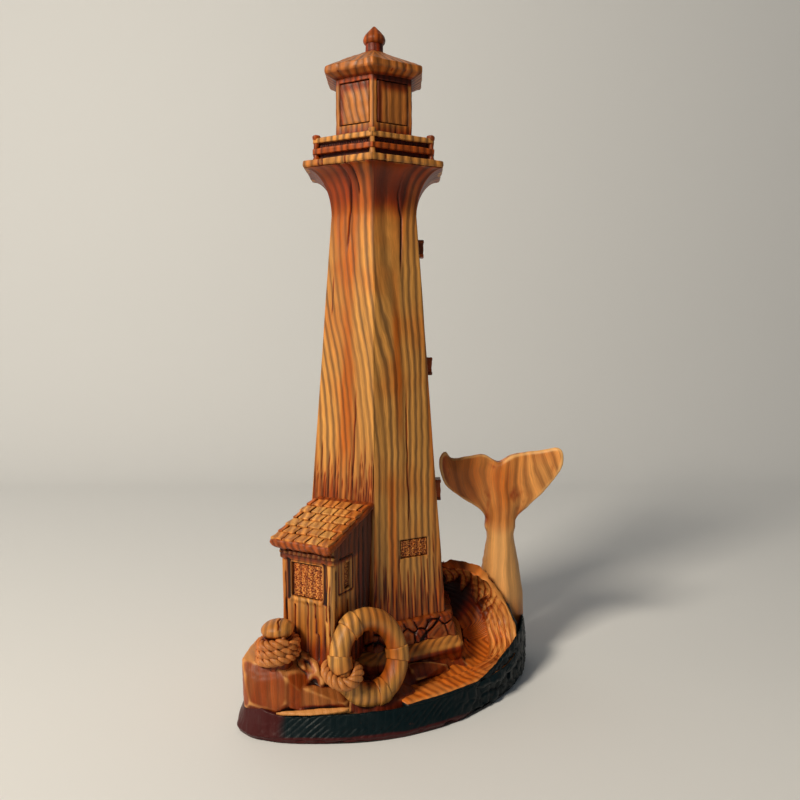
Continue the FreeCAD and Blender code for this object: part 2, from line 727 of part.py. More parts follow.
# ------------------------------------------------------------------ bollard
def make_bollard():
    """The mooring post, three turns of rope round it and its rounded cap."""
    post = doc.addObject("Part::Cylinder", "bollard_rod")
    bind(post, Radius="Dims.bollard_radius", Height="Dims.bollard_height",
         Placement__Base__x="Dims.bollard_x", Placement__Base__y="Dims.bollard_y",
         Placement__Base__z="Dims.rock_top")
    node(post, "bollard_post")
    turns = []
    for number in range(3):
        turn = doc.addObject("Part::Torus", f"rope_turn_{number}")
        bind(turn, Radius1="Dims.bollard_radius + Dims.rope_radius",
             Radius2="Dims.rope_radius",
             Placement__Base__x="Dims.bollard_x", Placement__Base__y="Dims.bollard_y",
             Placement__Base__z=f"Dims.rock_top + Dims.rope_radius * {2 * number + 1}")
        turns.append(turn)
    node(group("rope_turns", turns), "bollard_rope")
    cap = doc.addObject("Part::Ellipsoid", "bollard_cap_dome")
    bind(cap, Radius1="Dims.cap_height / 2", Radius2="Dims.cap_radius",
         Radius3="Dims.cap_radius",
         Placement__Base__x="Dims.bollard_x", Placement__Base__y="Dims.bollard_y",
         Placement__Base__z="Dims.rock_top + Dims.bollard_height + Dims.cap_height / 2")
    node(cap, "bollard_cap")


# ------------------------------------------------------------------ wave and whale's tail
def section(y, places):
    """A closed upright wire in the plane at one y."""
    corners = [Vector(x, y, z) for x, z in places]
    return Part.makePolygon(corners + corners[:1])


def make_wave(ledge):
    """The low bank, the tongue of water, the curved wall and the curling crest."""
    floor = size("wave_floor")
    low = size("skirt_top")
    bank_plan = [(36, -24), (50, -30), (60, -16), (65, -4), (66, 16), (58, 30), (40, 38),
                 (20, 45.9), (20, 0)]
    bank = solid_feature("bank_mass", prism_of(bank_plan, low, floor))
    node(cut("wave_bank", bank, ledge), "wave_bank")
    tongue_plan = [(16.5, -54), (19, -60.5), (42, -44), (52.5, -28.5), (49.9, -30.1),
                   (36.1, -24.1), (20, -30)]
    tongue = solid_feature("tongue_mass", prism_of(tongue_plan, low, size("tongue_top")))
    node(cut("wave_tongue", tongue, ledge, nodes[-1]), "wave_tongue")
    front = size("crest_front")
    wall = Part.makeLoft([
        section(-28, [(46, floor), (52, floor), (52, floor + 1), (46, floor + 0.5)]),
        section(-16, [(46, floor), (60, floor), (60.5, 25), (50, 21)]),
        section(front, [(44, floor), (64.5, floor), (63, 31), (48, 33)]),
    ], True, True)
    node(solid_feature("wall_solid", wall), "wave_wall")
    curl = [(47, floor), (64, floor), (63, 26), (60, 33), (54, 42), (47, 49.5), (40, 51),
            (35, 50), (33.5, 46), (38, 44.5), (43.5, 38), (46.5, 29)]
    crest_face = Part.Face(section(front, curl))
    crest = crest_face.extrude(Vector(0, size("crest_depth"), 0))
    node(solid_feature("crest_solid", crest), "wave_crest")


def make_tail():
    """The whale's tail: a rising stem and the two flukes that it carries."""
    sections = []
    for number, (level, shift, wide, deep) in enumerate(TAIL_SECTIONS):
        ellipse = doc.addObject("Part::Ellipse", f"tail_section_{number}")
        ellipse.MajorRadius = wide
        ellipse.MinorRadius = deep
        bind(ellipse, Placement__Base__x=f"Dims.tail_x + {shift}",
             Placement__Base__y="Dims.tail_y", Placement__Base__z=str(level))
        sections.append(ellipse)
    node(loft("stem_loft", sections, ruled=False), "whale_tail_stem")

    base = size("fluke_base")
    right_lead = [(69.5, base), (75, 78), (82, 85.8), (88.2, 94.8), (90.2, 102.6), (88, 107)]
    right_trail = [(88, 107), (80.2, 105.1), (72.4, 103.9), (66.1, 102.4), (59.7, 99.4)]
    left_trail = [(59.7, 99.4), (52.8, 102.9), (45, 102.4), (37, 102.2), (33.7, 105.4)]
    left_lead = [(33.7, 105.4), (30.4, 101), (31.3, 93.5), (36, 86.8), (43, 81), (52.5, base)]
    back = size("tail_y") + size("fluke_thick") / 2
    edges = []
    for run in (right_lead, right_trail, left_trail, left_lead):
        curve = Part.BSplineCurve()
        curve.interpolate([Vector(x, back, z) for x, z in run])
        edges.append(curve.toShape())
    edges.append(Part.LineSegment(Vector(52.5, back, base), Vector(69.5, back, base)).toShape())
    face = Part.Face(Part.Wire(Part.__sortEdges__(edges)))
    flukes = face.extrude(Vector(0, -size("fluke_thick"), 0))
    node(solid_feature("flukes_solid", flukes), "whale_flukes")


def check_and_write():
    """Stops on any failed object or bad shape, then writes one STEP file per node."""
    doc.recompute()
    for thing in doc.Objects:
        if "Invalid" in thing.State or "Error" in thing.State:
            raise RuntimeError(f"{thing.Name} failed: {thing.State}")
    for thing in nodes:
        shape = thing.Shape
        if shape.isNull() or not shape.isValid() or shape.Volume < 0.5:
            raise RuntimeError(f"{thing.Label} has a bad shape")
    os.makedirs("parts", exist_ok=True)
    for thing in nodes:
        thing.Shape.exportStep(f"parts/{thing.Label}.step")
        extent = thing.Shape.optimalBoundingBox()
        print(f"{thing.Label:22s} solids {len(thing.Shape.Solids):3d} volume "
              f"{thing.Shape.Volume:10.1f} z {extent.ZMin:6.1f} to {extent.ZMax:6.1f}")


make_base()
footing_ledge = make_ledge()
make_rocks(footing_ledge)
footing_core = make_footing()
tower_shaft = make_tower()
make_side_windows()
make_gallery()
make_lantern()
make_roof()
make_annex(tower_shaft, footing_core)
make_life_ring()
make_bollard()
make_wave(footing_ledge)
make_tail()
check_and_write()
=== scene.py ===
import itertools
import json
import math

import bpy
import numpy as np
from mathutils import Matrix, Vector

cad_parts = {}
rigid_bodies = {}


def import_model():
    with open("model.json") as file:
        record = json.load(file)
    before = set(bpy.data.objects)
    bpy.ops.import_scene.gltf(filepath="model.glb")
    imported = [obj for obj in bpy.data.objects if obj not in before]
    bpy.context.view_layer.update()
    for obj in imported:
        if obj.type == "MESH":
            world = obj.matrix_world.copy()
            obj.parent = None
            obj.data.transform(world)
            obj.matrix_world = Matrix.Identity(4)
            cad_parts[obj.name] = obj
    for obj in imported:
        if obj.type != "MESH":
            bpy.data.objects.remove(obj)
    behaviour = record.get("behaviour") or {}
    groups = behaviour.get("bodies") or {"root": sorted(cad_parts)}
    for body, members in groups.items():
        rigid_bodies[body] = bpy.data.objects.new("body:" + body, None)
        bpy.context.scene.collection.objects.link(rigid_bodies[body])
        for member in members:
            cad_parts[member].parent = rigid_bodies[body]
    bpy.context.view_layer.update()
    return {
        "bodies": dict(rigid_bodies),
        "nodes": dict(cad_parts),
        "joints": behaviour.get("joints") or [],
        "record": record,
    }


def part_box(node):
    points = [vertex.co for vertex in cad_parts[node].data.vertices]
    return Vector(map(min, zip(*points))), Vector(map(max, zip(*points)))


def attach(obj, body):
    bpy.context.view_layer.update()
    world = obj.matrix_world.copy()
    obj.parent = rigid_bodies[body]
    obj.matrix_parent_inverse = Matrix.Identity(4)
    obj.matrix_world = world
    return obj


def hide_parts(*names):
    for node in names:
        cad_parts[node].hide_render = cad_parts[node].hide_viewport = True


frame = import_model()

import openvdb as vdb
from mathutils import Vector

# A wood-effect resin lighthouse.  Everything below is worked out in millimetres in the row
# frame (+Z up, origin under the tower's axis, hexagon's corner towards -Y) and is turned into
# metres when a mesh is made.
#
# Vertex attributes carry what the materials need:
#   grain  distance across the wood's growth bands, mm
#   along  distance along the grain, mm
#   wash   how much brown wash sits in a recess, 0 to 1
#   rust   how much orange stain lies over the tan, 0 to 1
#   paint  how far the dark sea paint covers the piece, 0 to 1
#    wear_and_top_light   how far an edge is rubbed pale, and on rock how far painted top light pales a face that looks up, 0 to 1

FIELDS = ("grain", "along", "wash", "rust", "paint", "wear_and_top_light")
MM = 0.001


def cad(node):
    """A CAD node's lowest and highest corners in millimetres."""
    low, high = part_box(node)
    return np.array(low) / MM, np.array(high) / MM


# ------------------------------------------------------------------ repeatable noise
def lattice(ix, iy, iz, seed):
    """A repeatable value from -1 to 1 for whole-number lattice points."""
    value = (ix.astype(np.uint32) * np.uint32(374761393)
             + iy.astype(np.uint32) * np.uint32(668265263)
             + iz.astype(np.uint32) * np.uint32(2246822519)
             + np.uint32((seed * 3266489917 + 12345) & 0xFFFFFFFF))
    value = (value ^ (value >> np.uint32(13))) * np.uint32(1274126177)
    value = value ^ (value >> np.uint32(16))
    return (value & np.uint32(0xFFFF)).astype(np.float64) / 32767.5 - 1


def noise(points, cell, seed=0):
    """Smooth noise from -1 to 1 at points; cell is the size of a lump, or one size per axis."""
    scaled = np.asarray(points, dtype=np.float64) / np.asarray(cell, dtype=np.float64)
    base = np.floor(scaled)
    part = scaled - base
    part = part * part * (3 - 2 * part)
    whole = base.astype(np.int64)
    total = 0
    for corner in range(8):
        step = np.array([corner & 1, corner >> 1 & 1, corner >> 2 & 1])
        weight = np.prod(np.where(step, part, 1 - part), axis=-1)
        index = whole + step
        total = total + weight * lattice(index[..., 0], index[..., 1], index[..., 2], seed)
    return total


def smooth(low, high, value):
    """0 below low, 1 above high, and a smooth step between."""
    part = np.clip((value - low) / (high - low), 0, 1)
    return part * part * (3 - 2 * part)


def unit(vectors):
    """Vectors scaled to length 1."""
    return vectors / np.maximum(np.linalg.norm(vectors, axis=-1, keepdims=True), 1e-9)


# ------------------------------------------------------------------ meshes
PIECES = bpy.data.collections.new("pieces")
bpy.context.scene.collection.children.link(PIECES)


def make_mesh(name, points, faces, fields=None):
    """A smooth-shaded mesh object from points in mm, faces and per-point fields."""
    mesh = bpy.data.meshes.new(name)
    mesh.from_pydata((np.asarray(points) * MM).tolist(), [], faces)
    mesh.update()
    for field, values in (fields or {}).items():
        attribute = mesh.attributes.new(field, "FLOAT", "POINT")
        attribute.data.foreach_set("value", np.asarray(values, dtype=np.float32).ravel())
    mesh.polygons.foreach_set("use_smooth", [True] * len(mesh.polygons))
    piece = bpy.data.objects.new(name, mesh)
    PIECES.objects.link(piece)
    return piece


def grid_faces(rows, columns, looped=False):
    """Quads over a grid of points whose columns wrap round; its rows do too if it is looped."""
    row, column = np.meshgrid(np.arange(rows if looped else rows - 1), np.arange(columns),
                              indexing="ij")
    after, above = (column + 1) % columns, (row + 1) % rows
    corners = [row * columns + column, row * columns + after,
               above * columns + after, above * columns + column]
    return np.stack(corners, axis=-1).reshape(-1, 4).tolist()


def fan(ring, centre, backwards):
    """Triangles that close a ring of points to one centre point."""
    count = len(ring)
    pairs = [(ring[i], ring[(i + 1) % count]) for i in range(count)]
    if backwards:
        return [(centre, b, a) for a, b in pairs]
    return [(centre, a, b) for a, b in pairs]


def looped_grid(name, grid, fields):
    """A skin with no ends, such as a ring: its rows and its columns both wrap round."""
    rows, columns = grid.shape[:2]
    values = {field: np.broadcast_to(array, (rows, columns)) for field, array in fields.items()}
    return make_mesh(name, grid.reshape(-1, 3), grid_faces(rows, columns, True), values)


def closed_grid(name, grid, fields):
    """A closed skin: rows that wrap round, with the first and last row closed by a fan."""
    rows, columns = grid.shape[:2]
    points = grid.reshape(-1, 3)
    ends = np.array([grid[0].mean(axis=0), grid[-1].mean(axis=0)])
    faces = grid_faces(rows, columns)
    last = (rows - 1) * columns
    faces += fan(list(range(columns)), rows * columns, True)
    faces += fan(list(range(last, last + columns)), rows * columns + 1, False)
    values = {}
    for field, array in fields.items():
        array = np.broadcast_to(array, (rows, columns))
        values[field] = np.concatenate([array.ravel(), [array[0].mean(), array[-1].mean()]])
    return make_mesh(name, np.concatenate([points, ends]), faces, values)


def grid_normals(grid):
    """Outward directions of a wrapped grid of rows that climb and columns that turn left."""
    across = np.roll(grid, -1, axis=1) - np.roll(grid, 1, axis=1)
    up = np.gradient(grid, axis=0)
    return unit(np.cross(across, up))


def join(name, parts):
    """One object from several made by make_mesh, keeping their fields."""
    points = []
    faces = []
    fields = {}
    start = 0
    for part in parts:
        mesh = part.data
        count = len(mesh.vertices)
        place = np.empty(count * 3)
        mesh.vertices.foreach_get("co", place)
        points.append(place.reshape(-1, 3) / MM)
        faces += [[index + start for index in face.vertices] for face in mesh.polygons]
        for field in FIELDS:
            values = np.zeros(count)
            if field in mesh.attributes:
                mesh.attributes[field].data.foreach_get("value", values)
            fields.setdefault(field, []).append(values)
        start += count
        bpy.data.objects.remove(part)
    return make_mesh(name, np.concatenate(points), faces,
                     {field: np.concatenate(values) for field, values in fields.items()})


def settle(piece, material, slot, *nodes):
    """Gives a finished piece its material and body, and hides the CAD it stands for; slot is not
    used.
    """
    piece.data.materials.append(material)
    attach(piece, "root")
    if nodes:
        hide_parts(*nodes)
    return piece


# ------------------------------------------------------------------ outlines and sections
def rounded(points, radius, step):
    """An open polyline with its corners rounded and points no further apart than step."""
    points = [np.array(point, dtype=float) for point in points]
    path = [points[0]]
    for before, corner, after in zip(points, points[1:], points[2:]):
        reach = min(radius, np.linalg.norm(corner - before) / 2.2,
                    np.linalg.norm(after - corner) / 2.2)
        start = corner + unit(before - corner) * reach
        end = corner + unit(after - corner) * reach
        for t in np.linspace(0, 1, 5):
            path.append((1 - t) ** 2 * start + 2 * t * (1 - t) * corner + t ** 2 * end)
    path.append(points[-1])
    dense = [path[0]]
    for near, far in zip(path, path[1:]):
        pieces = max(1, int(np.ceil(np.linalg.norm(far - near) / step)))
        for index in range(1, pieces + 1):
            dense.append(near + (far - near) * index / pieces)
    return np.array(dense)


def curve_through(points, count, closed=False):
    """Catmull-Rom curve through given points, evenly spread by point number."""
    points = np.array(points, dtype=float)
    total = len(points)
    spans = total if closed else total - 1
    where = np.linspace(0, spans, count, endpoint=not closed)
    index = np.minimum(where.astype(int), spans - 1)
    part = (where - index)[:, None]

    def pick(offset):
        if closed:
            return points[(index + offset) % total]
        return points[np.clip(index + offset, 0, total - 1)]

    a, b, c, d = pick(-1), pick(0), pick(1), pick(2)
    return 0.5 * (2 * b + (c - a) * part + (2 * a - 5 * b + 4 * c - d) * part ** 2
                  + (3 * b - a - 3 * c + d) * part ** 3)


class HexSkin:
    """A six-sided skin about the tower's axis: rows follow an outline of (apothem, z) points,
    columns run round it, and each point knows its face and its place along that face."""

    def __init__(self, outline, corner_round, straight, arc=5):
        turns, fractions, bends = [], [], []
        for face in range(6):
            for fraction in np.linspace(-1, 1, straight):
                turns.append(face)
                fractions.append(fraction)
                bends.append(0.0)
            for bend in np.linspace(0, 60, arc + 2)[1:-1]:
                turns.append(face)
                fractions.append(1.0)
                bends.append(bend)
        self.face = np.array(turns)[None, :]
        fraction = np.array(fractions)[None, :]
        bend = np.radians(np.array(bends))[None, :]
        apothem = outline[:, 0:1]
        self.z = np.repeat(outline[:, 1:2], self.face.shape[1], axis=1)
        radius = np.minimum(corner_round, apothem * 0.5)
        half = apothem * math.tan(math.radians(30)) - radius * math.tan(math.radians(30))
        self.apothem = apothem
        self.s = fraction * half + radius * bend
        turn = np.radians(60 * self.face - 30.0)
        out = np.stack([np.sin(turn), -np.cos(turn)], axis=-1)
        side = np.stack([np.cos(turn), np.sin(turn)], axis=-1)
        lean = np.stack([np.sin(turn + bend), -np.cos(turn + bend)], axis=-1)
        flat = ((apothem - radius)[..., None] * out + (fraction * half)[..., None] * side
                + radius[..., None] * lean)
        self.points = np.concatenate([flat, self.z[..., None]], axis=-1)
        self.normal = grid_normals(self.points)

    def on(self, face):
        """1 on one face and 0 on the others."""
        return (self.face == face) * 1.0

    def pushed(self, distance):
        """The skin's points moved outwards by a distance."""
        return self.points + self.normal * distance[..., None]


def turned_into(points, turn):
    """Points in the row frame turned about +Z: along a tower face, inwards, up."""
    t = math.radians(turn)
    return np.stack([points[..., 0] * math.cos(t) + points[..., 1] * math.sin(t),
                     -points[..., 0] * math.sin(t) + points[..., 1] * math.cos(t),
                     points[..., 2]], -1)


# ------------------------------------------------------------------ clay: free forms by distance
class Clay:
    """A block of space that holds the distance to a form, in mm, on a grid of voxels.  The
    block may be turned about the tower's axis; its points are then in that turned frame."""

    def __init__(self, low, high, voxel, turn=0.0):
        self.low = np.array(low, dtype=float)
        self.voxel = voxel
        self.turn = turn
        counts = np.ceil((np.array(high) - self.low) / voxel).astype(int) + 1
        axes = [self.low[i] + voxel * np.arange(counts[i]) for i in range(3)]
        self.x, self.y, self.z = np.meshgrid(*axes, indexing="ij")
        self.points = np.stack([self.x, self.y, self.z], axis=-1)
        self.distance = np.full(self.x.shape, 99.0)

    def add(self, distance, blend=0.0):
        """Joins a form on, with a fillet of about the blend's size."""
        self.distance = soft_min(self.distance, distance, blend)

    def carve(self, distance, blend):
        """Takes a form away, with a rounded lip of about the blend's size."""
        self.distance = -soft_min(-self.distance, distance, blend)

    def keep(self, distance):
        """Keeps only what lies inside a form."""
        self.distance = np.maximum(self.distance, distance)

    def sample(self, values, points):
        """A field's values at points, between voxels."""
        where = (points - self.low) / self.voxel
        where = np.clip(where, 0, np.array(values.shape) - 1.001)
        base = where.astype(int)
        part = where - base
        total = 0
        for corner in range(8):
            step = np.array([corner & 1, corner >> 1 & 1, corner >> 2 & 1])
            weight = np.prod(np.where(step, part, 1 - part), axis=-1)
            index = base + step
            total = total + weight * values[index[:, 0], index[:, 1], index[:, 2]]
        return total

    def lift(self, points, reach):
        """How far points stand out of (+) or sink into (-) their surroundings, in mm."""
        limit = 3 * reach
        blurred = np.clip(self.distance, -limit, limit).astype(np.float32)
        width = max(1, int(round(reach / self.voxel)))
        for axis in range(3):
            total = np.cumsum(blurred, axis=axis)
            ahead = np.roll(total, -width, axis)
            behind = np.roll(total, width + 1, axis)
            blurred = (ahead - behind) / (2 * width + 1)
        inside = self.sample(np.clip(self.distance, -limit, limit), points)
        return self.sample(blurred, points) - inside

    def surface(self):
        """Points, faces and outward directions of the form's skin, in the block's frame."""
        band = 3 * self.voxel
        grid = vdb.FloatGrid(band)
        grid.copyFromArray(np.clip(self.distance, -band, band).astype(np.float32))
        points, triangles, quads = grid.convertToPolygons(0.0, 0.0)
        points = points.astype(float) * self.voxel + self.low
        quads = quads.astype(np.int64)
        across = np.cross(points[quads[:, 2]] - points[quads[:, 0]],
                          points[quads[:, 3]] - points[quads[:, 1]])
        middle = points[quads].mean(axis=1)
        if np.einsum("ij,ij->", middle - points.mean(axis=0), across) < 0:
            quads, across = quads[:, ::-1], -across
            triangles = triangles[:, ::-1]
        way = np.stack([np.bincount(quads.ravel(), np.repeat(across[:, i], 4), len(points))
                        for i in range(3)], axis=-1)
        return points, quads.tolist() + triangles.astype(int).tolist(), unit(way)

    def to_row_frame(self, points):
        """Points of the block's frame in the row frame."""
        return turned_into(points, -self.turn)


def soft_min(a, b, blend):
    """The smaller of two distances, blended where they are nearly equal."""
    if blend <= 0:
        return np.minimum(a, b)
    mix = np.clip(0.5 + 0.5 * (b - a) / blend, 0, 1)
    return b * (1 - mix) + a * mix - blend * mix * (1 - mix)


def ball(points, centre, radius):
    """Distance to an ellipsoid, near enough close to its skin; radius may be one per axis."""
    radius = np.broadcast_to(np.asarray(radius, dtype=float), (3,))
    scaled = np.linalg.norm((points - np.array(centre)) / radius, axis=-1)
    return (scaled - 1) * radius.min()


def hull(points, corners, chamfer):
    """Distance to a chipped block of stone: the convex shape round a few corner points."""
    corners = np.array(corners, dtype=float)
    planes = []
    for i, j, k in itertools.combinations(range(len(corners)), 3):
        way = np.cross(corners[j] - corners[i], corners[k] - corners[i])
        if np.linalg.norm(way) < 1e-6:
            continue
        way = unit(way)
        away = (corners - corners[i]) @ way
        if away.min() > -1e-6:
            way, away = -way, -away
        if away.max() < 1e-6 and not any(way @ other > 0.9999 for other, _ in planes):
            planes.append((way, corners[i] @ way))
    total = np.full(points.shape[:-1], -99.0)
    for way, reach in planes:
        total = -soft_min(-total, reach - points @ way, chamfer)
    return total


# ------------------------------------------------------------------ materials
def srgb(red, green, blue):
    """A linear colour from 0 to 255 screen values."""
    def linear(value):
        value = value / 255
        return value / 12.92 if value <= 0.04045 else ((value + 0.055) / 1.055) ** 2.4
    return (linear(red), linear(green), linear(blue), 1.0)


class Shade:
    """Builds one material's nodes."""

    def __init__(self, name, specular=0.28):
        self.material = bpy.data.materials.new(name)
        self.material.use_nodes = True
        self.nodes = self.material.node_tree.nodes
        self.links = self.material.node_tree.links
        self.nodes.clear()
        self.output = self.add("ShaderNodeOutputMaterial")
        self.shader = self.add("ShaderNodeBsdfPrincipled")
        self.shader.inputs["Specular IOR Level"].default_value = specular
        self.links.new(self.shader.outputs[0], self.output.inputs[0])

    def add(self, kind, **settings):
        node = self.nodes.new(kind)
        for name, value in settings.items():
            setattr(node, name, value)
        return node

    def feed(self, socket, value):
        if isinstance(value, bpy.types.NodeSocket):
            self.links.new(value, socket)
        elif value is not None:
            socket.default_value = value

    def field(self, name):
        """A per-vertex field by name."""
        return self.add("ShaderNodeAttribute", attribute_name=name).outputs["Fac"]

    def math(self, operation, a, b=None, clamp=False):
        node = self.add("ShaderNodeMath", operation=operation, use_clamp=clamp)
        self.feed(node.inputs[0], a)
        self.feed(node.inputs[1], b)
        return node.outputs[0]

    def step(self, value, low, high, out_low=0.0, out_high=1.0):
        """A smooth ramp of one value into another range."""
        node = self.add("ShaderNodeMapRange", interpolation_type="SMOOTHSTEP")
        self.feed(node.inputs["Value"], value)
        for name, number in (("From Min", low), ("From Max", high),
                             ("To Min", out_low), ("To Max", out_high)):
            node.inputs[name].default_value = number
        return node.outputs[0]

    def mix(self, factor, a, b, blend="MIX"):
        node = self.add("ShaderNodeMix", data_type="RGBA", blend_type=blend)
        self.feed(node.inputs[0], factor)
        self.feed(node.inputs[6], a)
        self.feed(node.inputs[7], b)
        return node.outputs[2]

    def place(self):
        """Object coordinates in millimetres."""
        source = self.add("ShaderNodeTexCoord").outputs["Object"]
        node = self.add("ShaderNodeVectorMath", operation="SCALE")
        self.feed(node.inputs[0], source)
        node.inputs["Scale"].default_value = 1 / MM
        return node.outputs[0]

    def vector(self, x, y, z=0.0):
        node = self.add("ShaderNodeCombineXYZ")
        for socket, value in zip(node.inputs, (x, y, z)):
            self.feed(socket, value)
        return node.outputs[0]

    def noise(self, vector, scale, detail, roughness=0.5):
        """Noise from 0 to 1; scale is lumps per unit of the vector."""
        node = self.add("ShaderNodeTexNoise")
        self.feed(node.inputs["Vector"], vector)
        node.inputs["Scale"].default_value = scale
        node.inputs["Detail"].default_value = detail
        node.inputs["Roughness"].default_value = roughness
        return node.outputs["Fac"]

    def ramp(self, value, stops):
        """A grey ramp through (position, level) stops."""
        node = self.add("ShaderNodeValToRGB")
        band = node.color_ramp
        while len(band.elements) < len(stops):
            band.elements.new(0.5)
        for element, (position, level) in zip(band.elements, stops):
            element.position = position
            element.color = (level, level, level, 1)
        self.feed(node.inputs[0], value)
        return node.outputs[0]

    def bump(self, height, depth):
        """Surface relief; depth is in mm for a height of 1."""
        node = self.add("ShaderNodeBump")
        node.inputs["Distance"].default_value = depth * MM
        self.feed(node.inputs["Height"], height)
        return node.outputs[0]

    def hollow(self, reach):
        """How closed in a point is, 0 to 1, within a reach in mm."""
        node = self.add("ShaderNodeAmbientOcclusion", samples=6)
        node.inputs["Distance"].default_value = reach * MM
        return self.math("SUBTRACT", 1.0, node.outputs["AO"])


RUST_TINT = srgb(238, 178, 104)
STAIN_TINT = srgb(192, 128, 86)
WASH = srgb(38, 13, 5)
SEA_BLUE = srgb(5, 22, 26)
SEA_MAROON = srgb(66, 22, 22)


def band_pattern(shade, pitch, wander):
    """The wood's growth bands: 0 on the pale wood, 1 on the dark line, and the fibre noise."""
    place = shade.place()
    drift = shade.math("SUBTRACT", shade.noise(place, 0.028, 2.0), 0.5)
    jitter = shade.math("SUBTRACT", shade.noise(place, 0.17, 1.0), 0.5)
    grain = shade.math("ADD", shade.field("grain"), shade.math("MULTIPLY", drift, wander))
    grain = shade.math("ADD", grain, shade.math("MULTIPLY", jitter, 0.7))
    turns = shade.math("DIVIDE", grain, pitch)
    part = shade.math("FRACT", turns)
    line = shade.ramp(part, [(0.0, 0.22), (0.14, 0.0), (0.36, 0.06), (0.56, 0.6), (0.72, 1.0),
                             (0.84, 0.85), (0.94, 0.4)])
    row = shade.add("ShaderNodeTexWhiteNoise", noise_dimensions="1D")
    shade.feed(row.inputs["W"], shade.math("FLOOR", turns))
    strength = shade.step(row.outputs["Value"], 0.0, 1.0, 0.7, 1.25)
    band = shade.math("MULTIPLY", line, strength, clamp=True)
    along = shade.field("along")
    fibre = shade.noise(shade.vector(shade.math("MULTIPLY", grain, 1.9),
                                     shade.math("MULTIPLY", along, 0.07)), 1.0, 3.0, 0.65)
    return place, band, fibre, row.outputs["Value"]


def carved_wood(name, tan, olive, pitch=3.3, wander=3.0, contrast=1.0, rust_all=0.0,
                wash_reach=2.6, wash_strength=0.85, roughness=0.40, painted=False,
                speckle=0.0, pale=None, specular=0.28):
    """Resin painted as pine: bands, fibres, orange stain, brown wash in the recesses."""
    shade = Shade(name, specular)
    place, band, fibre, row = band_pattern(shade, pitch, wander)
    colour = shade.mix(shade.math("MULTIPLY", band, contrast, clamp=True), tan, olive)
    tone = shade.step(row, 0.0, 1.0, 0.82, 1.1)
    tone = shade.math("MULTIPLY", tone, shade.step(fibre, 0.25, 0.75, 0.76, 1.2))
    colour = shade.mix(1.0, colour, shade.vector(tone, tone, tone), "MULTIPLY")

    patch = shade.step(shade.noise(place, 0.035, 2.0), 0.48, 0.72, rust_all, 0.45 + rust_all)
    rust = shade.math("ADD", shade.field("rust"), patch, clamp=True)
    rust = shade.math("MULTIPLY", rust, shade.step(fibre, 0.2, 0.7, 0.65, 1.15), clamp=True)
    colour = shade.mix(rust, colour, shade.mix(1.0, colour, RUST_TINT, "MULTIPLY"))

    closed = shade.step(shade.hollow(wash_reach), 0.22, 0.85, 0.0, wash_strength)
    streak = shade.step(fibre, 0.3, 0.75, 1.25, 0.7)
    wash = shade.math("MAXIMUM", shade.math("MULTIPLY", closed, streak), shade.field("wash"))
    if speckle:
        spots = shade.step(shade.noise(place, 0.9, 2.0, 0.7), 0.56, 0.66, 0.0, speckle)
        wash = shade.math("MAXIMUM", wash, spots)
    first = shade.step(wash, 0.0, 0.55)
    colour = shade.mix(first, colour, shade.mix(1.0, colour, STAIN_TINT, "MULTIPLY"))
    colour = shade.mix(shade.step(wash, 0.35, 1.0), colour, WASH)
    # Rubbed edges, and on rock the painted top light, mix towards the pale colour.
    rubbed = shade.math("MULTIPLY", shade.field("wear_and_top_light"), 0.75 if pale else 0.55)
    colour = shade.mix(rubbed, colour, pale or tan)

    gloss = shade.step(fibre, 0.2, 0.8, roughness - 0.05, roughness + 0.1)
    if painted:
        colour, gloss = sea_paint(shade, place, colour, gloss)
    shade.feed(shade.shader.inputs["Base Color"], colour)
    shade.feed(shade.shader.inputs["Roughness"], gloss)
    height = shade.math("SUBTRACT", shade.math("MULTIPLY", fibre, 0.5),
                        shade.math("MULTIPLY", band, 0.45))
    shade.feed(shade.shader.inputs["Normal"], shade.bump(height, 0.28))
    return shade.material


def sea_paint(shade, place, colour, gloss):
    """Lays the dark blue-green and maroon paint of the base over a colour."""
    drift = shade.math("SUBTRACT", shade.noise(place, 0.05, 2.0), 0.5)
    maroon = shade.step(shade.math("ADD", shade.field("rust"), drift), 0.35, 0.75)
    sea = shade.mix(maroon, SEA_BLUE, SEA_MAROON)
    dabs = shade.noise(place, 0.35, 3.0, 0.7)
    sea = shade.mix(shade.step(dabs, 0.64, 0.8, 0.0, 0.4), sea, srgb(88, 48, 34))
    cover = shade.math("ADD", shade.field("paint"),
                       shade.math("MULTIPLY", shade.math("SUBTRACT", dabs, 0.5), 0.5))
    cover = shade.step(cover, 0.42, 0.58)
    return (shade.mix(cover, colour, sea),
            shade.math("ADD", gloss, shade.math("MULTIPLY", cover, 0.02)))


def felt_cloth(name):
    """Charcoal felt: matted fibres with a soft sheen."""
    shade = Shade(name)
    place = shade.place()
    mat = shade.noise(place, 0.8, 4.0, 0.7)
    tone = shade.step(mat, 0.3, 0.7)
    shade.feed(shade.shader.inputs["Base Color"],
               shade.mix(tone, srgb(30, 29, 28), srgb(58, 56, 53)))
    shade.shader.inputs["Roughness"].default_value = 0.95
    shade.shader.inputs["Sheen Weight"].default_value = 0.4
    shade.feed(shade.shader.inputs["Normal"], shade.bump(mat, 0.4))
    return shade.material


